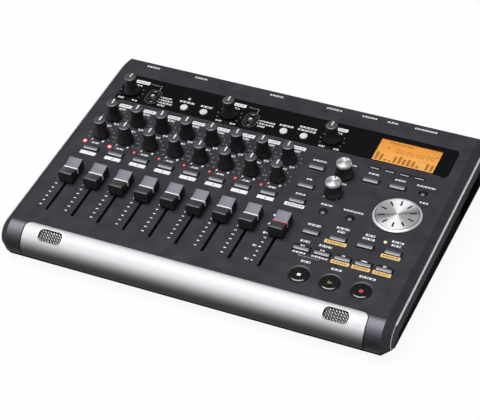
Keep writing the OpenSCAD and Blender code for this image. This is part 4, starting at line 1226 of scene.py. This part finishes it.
def strip_print(shape):
    ((low, high),) = islands("display_strip")
    # A dim line along the strip's front edge is a painted highlight on that edge.
    stamp(shape, rect((low.x + high.x) / 2, low.y + 0.3, high.x - low.x - 9.0, 0.55), IN_DIM_AND_HIGHLIGHT)
    for body, field, word in zip(TRIM_KNOBS, TRIM_FIELDS, TRIM_WORDS):
        u, v = pivot(body)
        dial(shape, u, v, 0.42)
        labelled_plate(shape, u + 3.9, v + 12.7, field)
        words = (3.1, 8.6, word, SMALL_H), (-4.4, -8.6, 5.0, SMALL_H), (6.9, -8.7, 4.3, SMALL_H)
        captions(shape, (u, v), words)
    for body, knob, lengths in zip(MODES, TRIM_KNOBS, MODE_WORDS):
        ((u, v),) = middles(body)
        start, rise = pivot(knob)
        corner = (u + LEAD_SIDE, rise + LEAD_RISE)
        stroke(shape, (start + LEAD_START, rise + LEAD_RISE), corner)
        stroke(shape, corner, (u + LEAD_SIDE, v + WELL_LINE[1] / 2 - 0.3))
        for row, length in enumerate(lengths):
            row_v = v + MODE_WORD_RISE - MODE_LEAD * row
            caption(shape, u + MODE_WORD_SIDE + length / 2, row_v, length, SMALL_H)
            if row < len(lengths) - 1:
                stamp(shape, disc(u + MODE_DOT_SIDE, row_v, 0.45, 8))
    for (u, v), lengths in zip(middles("input_buttons"), INPUT_WORDS):
        for row, length in enumerate(lengths):
            row_v = v + INPUT_WORD_RISE + INPUT_LEAD * row
            caption(shape, u + INPUT_WORD_SIDE, row_v, length, INPUT_WORD_H)


def rear_print(shape):
    jacks = sorted(u for u, _ in middles("phone_jacks"))
    words = ((jacks[0] + 2, 11.1), (jacks[1] - 12, 10.9), (jacks[2] - 11, 11.6),
             (sum(PHONO_US) / 2, 12.7), (jacks[3], 12.0), (INLET_U, 8.6), (POWER_U, 18.0))
    for u, length in words:
        caption(shape, u, REAR_WORD_V, length)


panel_print = Shape()
for channel in CHANNELS:
    channel_print(panel_print, channel)
    fader_scale(panel_print, pivot(f"send_knob_{channel}")[0])
master_print(panel_print)
key_print(panel_print)
for name, words in KNOB_WORDS.items():
    captions(panel_print, pivot(name), words)
rear_print(panel_print)
panel_print.piece("panel_print", "case", PRINT_INKS)
strip_marks = Shape()
strip_print(strip_marks)
strip_marks.piece("strip_print", "case", PRINT_INKS)
display()


# Microphone grilles: woven wire in the bar's slots, the under wires in painted shade, with a pale rim
# that is a painted highlight on the slot's edge

SLOT = (18.5, 9.0)
SLOT_R = 0.42 * SLOT[1]
SLOT_TILT = 29.0
WEAVE_R = NOSE_R - 2.0
WEAVE_PITCH = 1.5
WEAVE_WIRE = 0.36
WEAVE_LIFT = 0.26
RIM_W = 0.8


def in_slot(a, b):
    """Whether a wire's middle clears the slot's wall."""
    over_a = max(abs(a) - SLOT[0] / 2 + SLOT_R, 0)
    over_b = max(abs(b) - SLOT[1] / 2 + SLOT_R, 0)
    return math.hypot(over_a, over_b) < SLOT_R - WEAVE_WIRE


def on_nose(outline, rise):
    """Lays an outline round the nose at a height above it."""
    return [(a, b, math.sqrt((NOSE_R + rise) ** 2 - b ** 2)) for a, b in outline]


def grille(name, u):
    shape = Shape()
    reach = math.ceil(SLOT[0] / WEAVE_PITCH)
    for hand in (-1, 1):
        for k in range(-reach, reach + 1):
            path = []
            for step in range(-2 * reach, 2 * reach + 1):
                offset, run = k * WEAVE_PITCH, step * WEAVE_PITCH / 2
                a = (run + offset) * math.sqrt(0.5)
                b = (run - offset) * math.sqrt(0.5) * hand
                if in_slot(a, b):
                    lift = WEAVE_LIFT * math.cos(math.pi * (step / 2 + k)) * hand
                    path.append((a, b, math.sqrt(WEAVE_R ** 2 - b ** 2) + lift))
            if len(path) > 2:
                # Wires of one hand are the dark copy: painted shade under the other hand's wires.
                shape.tube(path, WEAVE_WIRE, 6, 0 if hand < 0 else 2)
    inner = rect(0, 0, *SLOT, SLOT_R, 8)
    outer = rect(0, 0, SLOT[0] + 2 * RIM_W, SLOT[1] + 2 * RIM_W, SLOT_R + RIM_W, 8)
    loops = (inner, 0.01), (outer, 0.01), (outer, 0.04), (inner, 0.12)
    # The pale rim is a painted highlight on the slot's edge.
    shape.wrap([on_nose(*loop) for loop in loops], 1)
    tilt = Matrix.Rotation(math.radians(SLOT_TILT), 4, "X")
    place = PANEL @ Matrix.Translation(Vector((u, 0, -NOSE_R)) * MM) @ tilt
    shape.piece(name, "case", [WIRE, EDGE_PAINTED_HIGHLIGHT, WIRE_PAINTED_SHADE], place)


for name, (u, _) in zip(("grille_left", "grille_right"), middles("microphones")):
    grille(name, u)


# Edge beads: thin bright lines along both sides and down the nose's ends, a painted highlight on the
# case's rounded side edges that is dimmer down the nose

BEAD_R = 0.72
BEAD_END_R = 0.4
BEAD_W = -5.0
BEAD_REAR = 182.0
BEAD_INSET = 0.3
BEAD_STEPS = 12
BEAD_NOSE_R = NOSE_R + BEAD_W
BEAD_TURN = 112.0
BEAD_TURN_STEPS = 18


def bead(name, side):
    shape = Shape()
    u = side * (HALF_W - BEAD_INSET)
    run = [(u, BEAD_REAR * (1 - k / BEAD_STEPS), BEAD_W) for k in range(BEAD_STEPS + 1)]
    turns = [math.radians(BEAD_TURN) * k / BEAD_TURN_STEPS for k in range(BEAD_TURN_STEPS + 1)]
    end = [(u, -BEAD_NOSE_R * math.sin(a), -NOSE_R + BEAD_NOSE_R * math.cos(a)) for a in turns]
    shape.tube(run, BEAD_R, 10)
    shape.tube(end, BEAD_END_R, 8, 1)
    shape.piece(name, "case", [EDGE_PAINTED_HIGHLIGHT, EDGE_PAINTED_HIGHLIGHT_DIM])


bead("highlight_bead_left", -1)
bead("highlight_bead_right", 1)


# Rear sockets

JACK_BODY = (14.0, 13.0, 20.0)
WALL = 2.0
JACK_BORE_R = 3.2
BUSH_R = 4.6
BUSH_OUT = 3.6
NUT_ACROSS = 11.4
NUT_T = 2.2
NUT_CROWN_R = NUT_ACROSS / 2 + 0.25
THREADS = 5
THREAD_DEPTH = 0.25
THREAD_OUT = BUSH_OUT - 0.4
THREAD_PITCH = THREAD_OUT / THREADS


def phone_jacks():
    shape = Shape()
    back = -WALL - JACK_BODY[2]
    thread = [(BUSH_R - 0.02 - THREAD_DEPTH * (k % 2), THREAD_OUT - THREAD_PITCH * k / 2)
              for k in range(2 * THREADS)]
    bush = [(JACK_BORE_R, -WALL), (BUSH_R - 0.3, -WALL)] + thread[::-1]
    mouth = [(BUSH_R - 0.5, BUSH_OUT), (JACK_BORE_R + 0.3, BUSH_OUT), (JACK_BORE_R, BUSH_OUT - 0.3)]
    for u, _ in middles("phone_jacks", REAR):
        body = rect(u, 0, JACK_BODY[0], JACK_BODY[1], 0.5, 11)
        shape.band(body, hole_in(body, u, 0, JACK_BORE_R), back + 1, -WALL)
        shape.prism(body, back, back + 0.98)
        shape.ring(bush + mouth, (u, 0), material=1)
        nut = hexagon(u, 0, NUT_ACROSS)
        crown = [p if math.dist(p, (u, 0)) < NUT_CROWN_R else q
                 for p, q in zip(nut, hole_in(nut, u, 0, NUT_CROWN_R))]
        bore = hole_in(nut, u, 0, BUSH_R)
        loops = (bore, 0.02), (nut, 0.02), (nut, NUT_T - 0.45), (crown, NUT_T), (bore, NUT_T)
        shape.wrap([level(*loop) for loop in loops], 1)
    shape.piece("phone_jack_sockets", "case", [INNER_BLACK, NICKEL], REAR,
                "phone_jacks")


FLANGE = (25.0, 26.0)
FLANGE_T = 2.0
CUP_R = 10.8
RING_R = 9.6
CORE_R = 7.8
CORE_TOP = FLANGE_T - 0.2
CUP_FLOOR = -11.0
CUP_SEGMENTS = 64
PIN_CIRCLE = 4.2
PIN_R = 1.3
PIN_TURNS = (90, 210, 330)
SCREW_OFF = 9.6


def mic_sockets():
    shape = Shape()
    for u, _ in middles("mic_sockets", REAR)[::2]:
        centre = (u, 0)
        face = rect(u, 0, *FLANGE, 3.0, 11)
        crest = rect(u, 0, FLANGE[0] - 1.0, FLANGE[1] - 1.0, 2.5, 11)
        cup, wall = hole_in(face, u, 0, RING_R), hole_in(face, u, 0, CUP_R)
        loops = ((cup, -1.0), (wall, -1.0), (wall, 0.02), (face, 0.02), (face, FLANGE_T - 0.5),
                 (crest, FLANGE_T), (cup, FLANGE_T))
        shape.wrap([level(*loop) for loop in loops])
        sleeve = (-0.5, CORE_TOP), (-0.02, CORE_TOP), (-0.02, CUP_FLOOR), (-0.5, CUP_FLOOR)
        shape.ring(offsets(RING_R, 0, *sleeve), centre, CUP_SEGMENTS, 1)
        core = [(CORE_R, CUP_FLOOR), (CORE_R, FLANGE_T - 0.6), (CORE_R - 0.4, CORE_TOP),
                (TIP_R, CORE_TOP)]
        shape.lathe(core, centre, CUP_SEGMENTS)
        shape.lathe([(CUP_R, CUP_FLOOR - 1), (CUP_R, CUP_FLOOR - 0.02)], centre, CUP_SEGMENTS)
        for turn in PIN_TURNS:
            (pin,) = circle(u, 0, PIN_CIRCLE, [math.radians(turn)])
            lip = (-0.4, -0.22), (0, -0.22), (0, -0.08), (-0.4, -0.12)
            shape.ring(offsets(PIN_R, FLANGE_T, *lip), pin, 24, 2)
            # Dark discs in the pin holes are painted shade.
            shape.lathe(offsets(PIN_R, FLANGE_T, (-0.42, -0.22), (-0.42, -0.17)), pin, 24, 3)
        latch = ((5.2, 2.2, 0.01), (4.8, 1.8, 0.9))
        shape.loft([level(rect(u, -RING_R - 0.6, width, depth, 0.4), FLANGE_T + w)
                    for width, depth, w in latch], 1)
        for side in (-1, 1):
            head = (u + side * SCREW_OFF, side * SCREW_OFF)
            dome = (1.9, 0.01), (1.8, 0.5), (1.2, 0.8), (TIP_R, 0.9)
            shape.lathe(offsets(0, FLANGE_T, *dome), head, 24, 4)
            # Dark crosses on the screw heads are painted shade in their recesses.
            for size in ((1.9, 0.4), (0.4, 1.9)):
                shape.prism(rect(*head, *size), FLANGE_T + 0.6, FLANGE_T + 0.93, 3)
    finishes = [INNER_BLACK, NICKEL, GOLD, SHADE, STEEL]
    shape.piece("mic_socket_faces", "case", finishes, REAR, "mic_sockets")


PHONO_R = 4.2
PHONO_OUT = 9.0
PHONO_BORE_R = 1.6
INLET_R = 4.4
INLET_OUT = 1.2
INLET_BORE_R = 2.9


def line_power_faces():
    """Metal sleeves and coloured rings over the phono sockets, a sleeve round the inlet's pin."""
    shape = Shape()
    collar = offsets(PHONO_R, 0, (0.02, 0.02), (1.3, 0.02), (1.2, 0.8), (0.02, 0.9))
    sleeve = offsets(PHONO_R, 0, (0.02, 0.95), (0.2, 1.0)) + offsets(
        PHONO_R, PHONO_OUT, (0.2, -0.3), (-0.1, 0.1), (-0.8, 0.1), (-0.8, 0.02), (0.02, 0.02))
    face = [(PHONO_BORE_R, PHONO_OUT + 0.02)] + offsets(
        PHONO_R, PHONO_OUT, (-0.85, 0.02), (-0.85, 0.08)) + [(PHONO_BORE_R, PHONO_OUT + 0.06)]
    for u, colour in zip(PHONO_US, (2, 1)):
        shape.ring(collar, (u, 0), material=colour)
        shape.ring(sleeve, (u, 0))
        shape.ring(face, (u, 0), material=colour)
    shape.ring([(INLET_BORE_R + 0.1, INLET_OUT + 0.02), (INLET_R - 0.1, INLET_OUT + 0.02),
                (INLET_R - 0.3, INLET_OUT + 0.2), (INLET_BORE_R + 0.3, INLET_OUT + 0.2)], (INLET_U, 0))
    finishes = [NICKEL, INSULATOR_RED, INSULATOR_WHITE]
    shape.piece("line_power_faces", "case", finishes, REAR)


SLIDER = (4.0, 3.6)
SLIDER_OUT = 3.0
SLIDER_IN = -5.4


def power_slider():
    shape = Shape()
    ((u, v),) = middles("power_switch", REAR)
    width, depth = SLIDER
    body = rect(u, v, width, depth, 0.2)
    face = rect(u, v, width - 0.5, depth - 0.3, 0.2)
    shape.loft([level(body, SLIDER_IN), level(body, SLIDER_OUT - 0.5), level(face, SLIDER_OUT - 0.1)])
    for step in (-1.1, 0.0, 1.1):
        shape.prism(rect(u + step, v, 0.45, depth - 0.5, 0.1), SLIDER_OUT - 0.3, SLIDER_OUT + 0.1)
    shape.piece("power_slider", "power_switch", [KEY_BLACK_AND_SHADE], REAR, "power_switch")


phone_jacks()
mic_sockets()
line_power_faces()
power_slider()


# Underside: feet and screws

FOOT_R = 6.5
HEAD_R = 2.8
HEAD_H = 1.8
SHANK_R = 1.5


def rubber_feet():
    shape = Shape()
    for low, high in islands("rubber_feet", WORLD):
        steps = (-1.6, 0.35), (-1.3, 0.05), (-0.9, low.z), (-0.4, 0.15), (-0.05, 0.6), (0, high.z)
        shape.lathe(offsets(FOOT_R, 0, *steps), middle(low, high))
    shape.piece("rubber_feet_pads", "case", [RUBBER], WORLD, "rubber_feet")


def case_screws():
    """Pan heads with a cross recess, seen from below."""
    shape = Shape()
    for low, high in islands("case_screws"):
        centre = middle(low, high)
        shape.lathe(offsets(HEAD_R, low.z, (-0.7, 0), (-0.2, 0.4), (0, HEAD_H)), centre, 32)
        shape.lathe([(SHANK_R, low.z + HEAD_H), (SHANK_R, high.z)], centre, 16)
        # Dark crosses on the heads are painted shade in the cross recesses.
        for size in ((2.6, 0.6), (0.6, 2.6)):
            shape.prism(rect(*centre, *size), low.z - 0.02, low.z + 0.3, 1)
    shape.piece("case_screw_heads", "case", [STEEL, SHADE], PANEL, "case_screws")


rubber_feet()
case_screws()


# Grip ribs on the card door

DOOR_RIBS = 5
RIB_PITCH = 1.6
RIB_HALF_W = 0.4
DOOR_FACE = 0.4


def card_door_ribs():
    shape = Shape()
    low, high = (Vector(corner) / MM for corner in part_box("card_door"))
    hinge = Vector(JOINTS["card_door"]["pos_m"]) / MM
    face = hinge.x + DOOR_FACE
    foot, top = high.z - 4.0, high.z - 1.0
    for k in range(DOOR_RIBS):
        y = (low.y + high.y) / 2 + RIB_PITCH * (k - (DOOR_RIBS - 1) / 2)
        near, far = y - RIB_HALF_W, y + RIB_HALF_W
        outline = (near, foot), (far, foot), (far, top), (near, top)
        shape.loft([[(face + x, *point) for point in outline] for x in (0.005, 0.35)])
    shape.piece("card_door_ribs", "card_door", [LOWER], WORLD)


card_door_ribs()


# Camera and light

VIEW_AZIMUTH = 26.908
VIEW_ELEVATION = 42.842
VIEW_ROLL = -4.609
VIEW_DISTANCE = 1236.73
VIEW_POINT = (7.69, 60.99, 0.0)
LENS = 133.66
SENSOR_W = 36.0
CLIP_END = 20
FLOOR_REACH = 6.0
FLOOR_COLOR = (0.93, 0.93, 0.93)
PAPER_SHARE = 0.92
SKY = ((0.10, (1, 1, 1)), (0.28, (0.08, 0.08, 0.08)))
SUN_FROM = (-0.2, -0.15, 1.0)
SUN_SPREAD = 58
SUN_STRENGTH = 3.0


def camera():
    azimuth, elevation, roll = (math.radians(a) for a in (VIEW_AZIMUTH, VIEW_ELEVATION, VIEW_ROLL))
    back = Vector((math.sin(azimuth) * math.cos(elevation), -math.cos(azimuth) * math.cos(elevation),
                   math.sin(elevation)))
    level_right = (-back).cross(Vector((0, 0, 1))).normalized()
    upright = level_right.cross(-back)
    right = level_right * math.cos(roll) + upright * math.sin(roll)
    up = upright * math.cos(roll) - level_right * math.sin(roll)
    turn = Matrix((right, up, back)).transposed().to_4x4()
    data = bpy.data.cameras.new("camera")
    data.sensor_width = SENSOR_W
    data.lens = LENS
    data.clip_end = CLIP_END
    place = Matrix.Translation((Vector(VIEW_POINT) + back * VIEW_DISTANCE) * MM)
    bpy.context.scene.camera = add_object("camera", data, PANEL @ place @ turn)


def overhead_light():
    """A broad even light from overhead."""
    data = bpy.data.lights.new("overhead", "SUN")
    data.angle = math.radians(SUN_SPREAD)
    data.energy = SUN_STRENGTH
    aim = (-Vector(SUN_FROM)).to_track_quat("-Z", "Y")
    add_object("overhead", data, aim.to_matrix().to_4x4())


def white_floor():
    """A floor that is seen nearly white and keeps the shadow."""
    data = bpy.data.meshes.new("floor")
    data.from_pydata([(FLOOR_REACH * x, FLOOR_REACH * y, 0) for x, y in CORNERS], [], [(0, 1, 2, 3)])
    finish = Finish("floor_white", FLOOR_COLOR, 0.7)
    finish.tint(finish.noise(40), 0.005)
    rays = finish.node("LightPath", {})
    seen = finish.math("MAXIMUM", rays["Is Camera Ray"], rays["Is Glossy Ray"])
    seen = finish.math("MAXIMUM", seen, rays["Is Transmission Ray"])
    share = finish.math("MULTIPLY", seen, PAPER_SHARE)
    paper = finish.node("Emission", {})["Emission"]
    mix = finish.node("MixShader", {0: share, 1: finish.shader.outputs["BSDF"], 2: paper})["Shader"]
    finish.feed(finish.nodes["Material Output"].inputs["Surface"], mix)
    data.materials.append(finish.material)
    thing = add_object("floor", data)


def studio_world():
    """White round the horizon and dim overhead, so that flat tops mirror a dark room."""
    world = bpy.data.worlds.new("studio")
    bpy.context.scene.world = world
    world.use_nodes = True
    tree = Tree(world.node_tree)
    place = tree.node("TexCoord", {})["Generated"]
    rise = tree.node("SeparateXYZ", {"Vector": place})["Z"]
    tree.feed(tree.nodes["Background"].inputs["Color"], tree.ramp(rise, SKY))


camera()
white_floor()
studio_world()
overhead_light()
bpy.context.scene.view_settings.view_transform = "Standard"
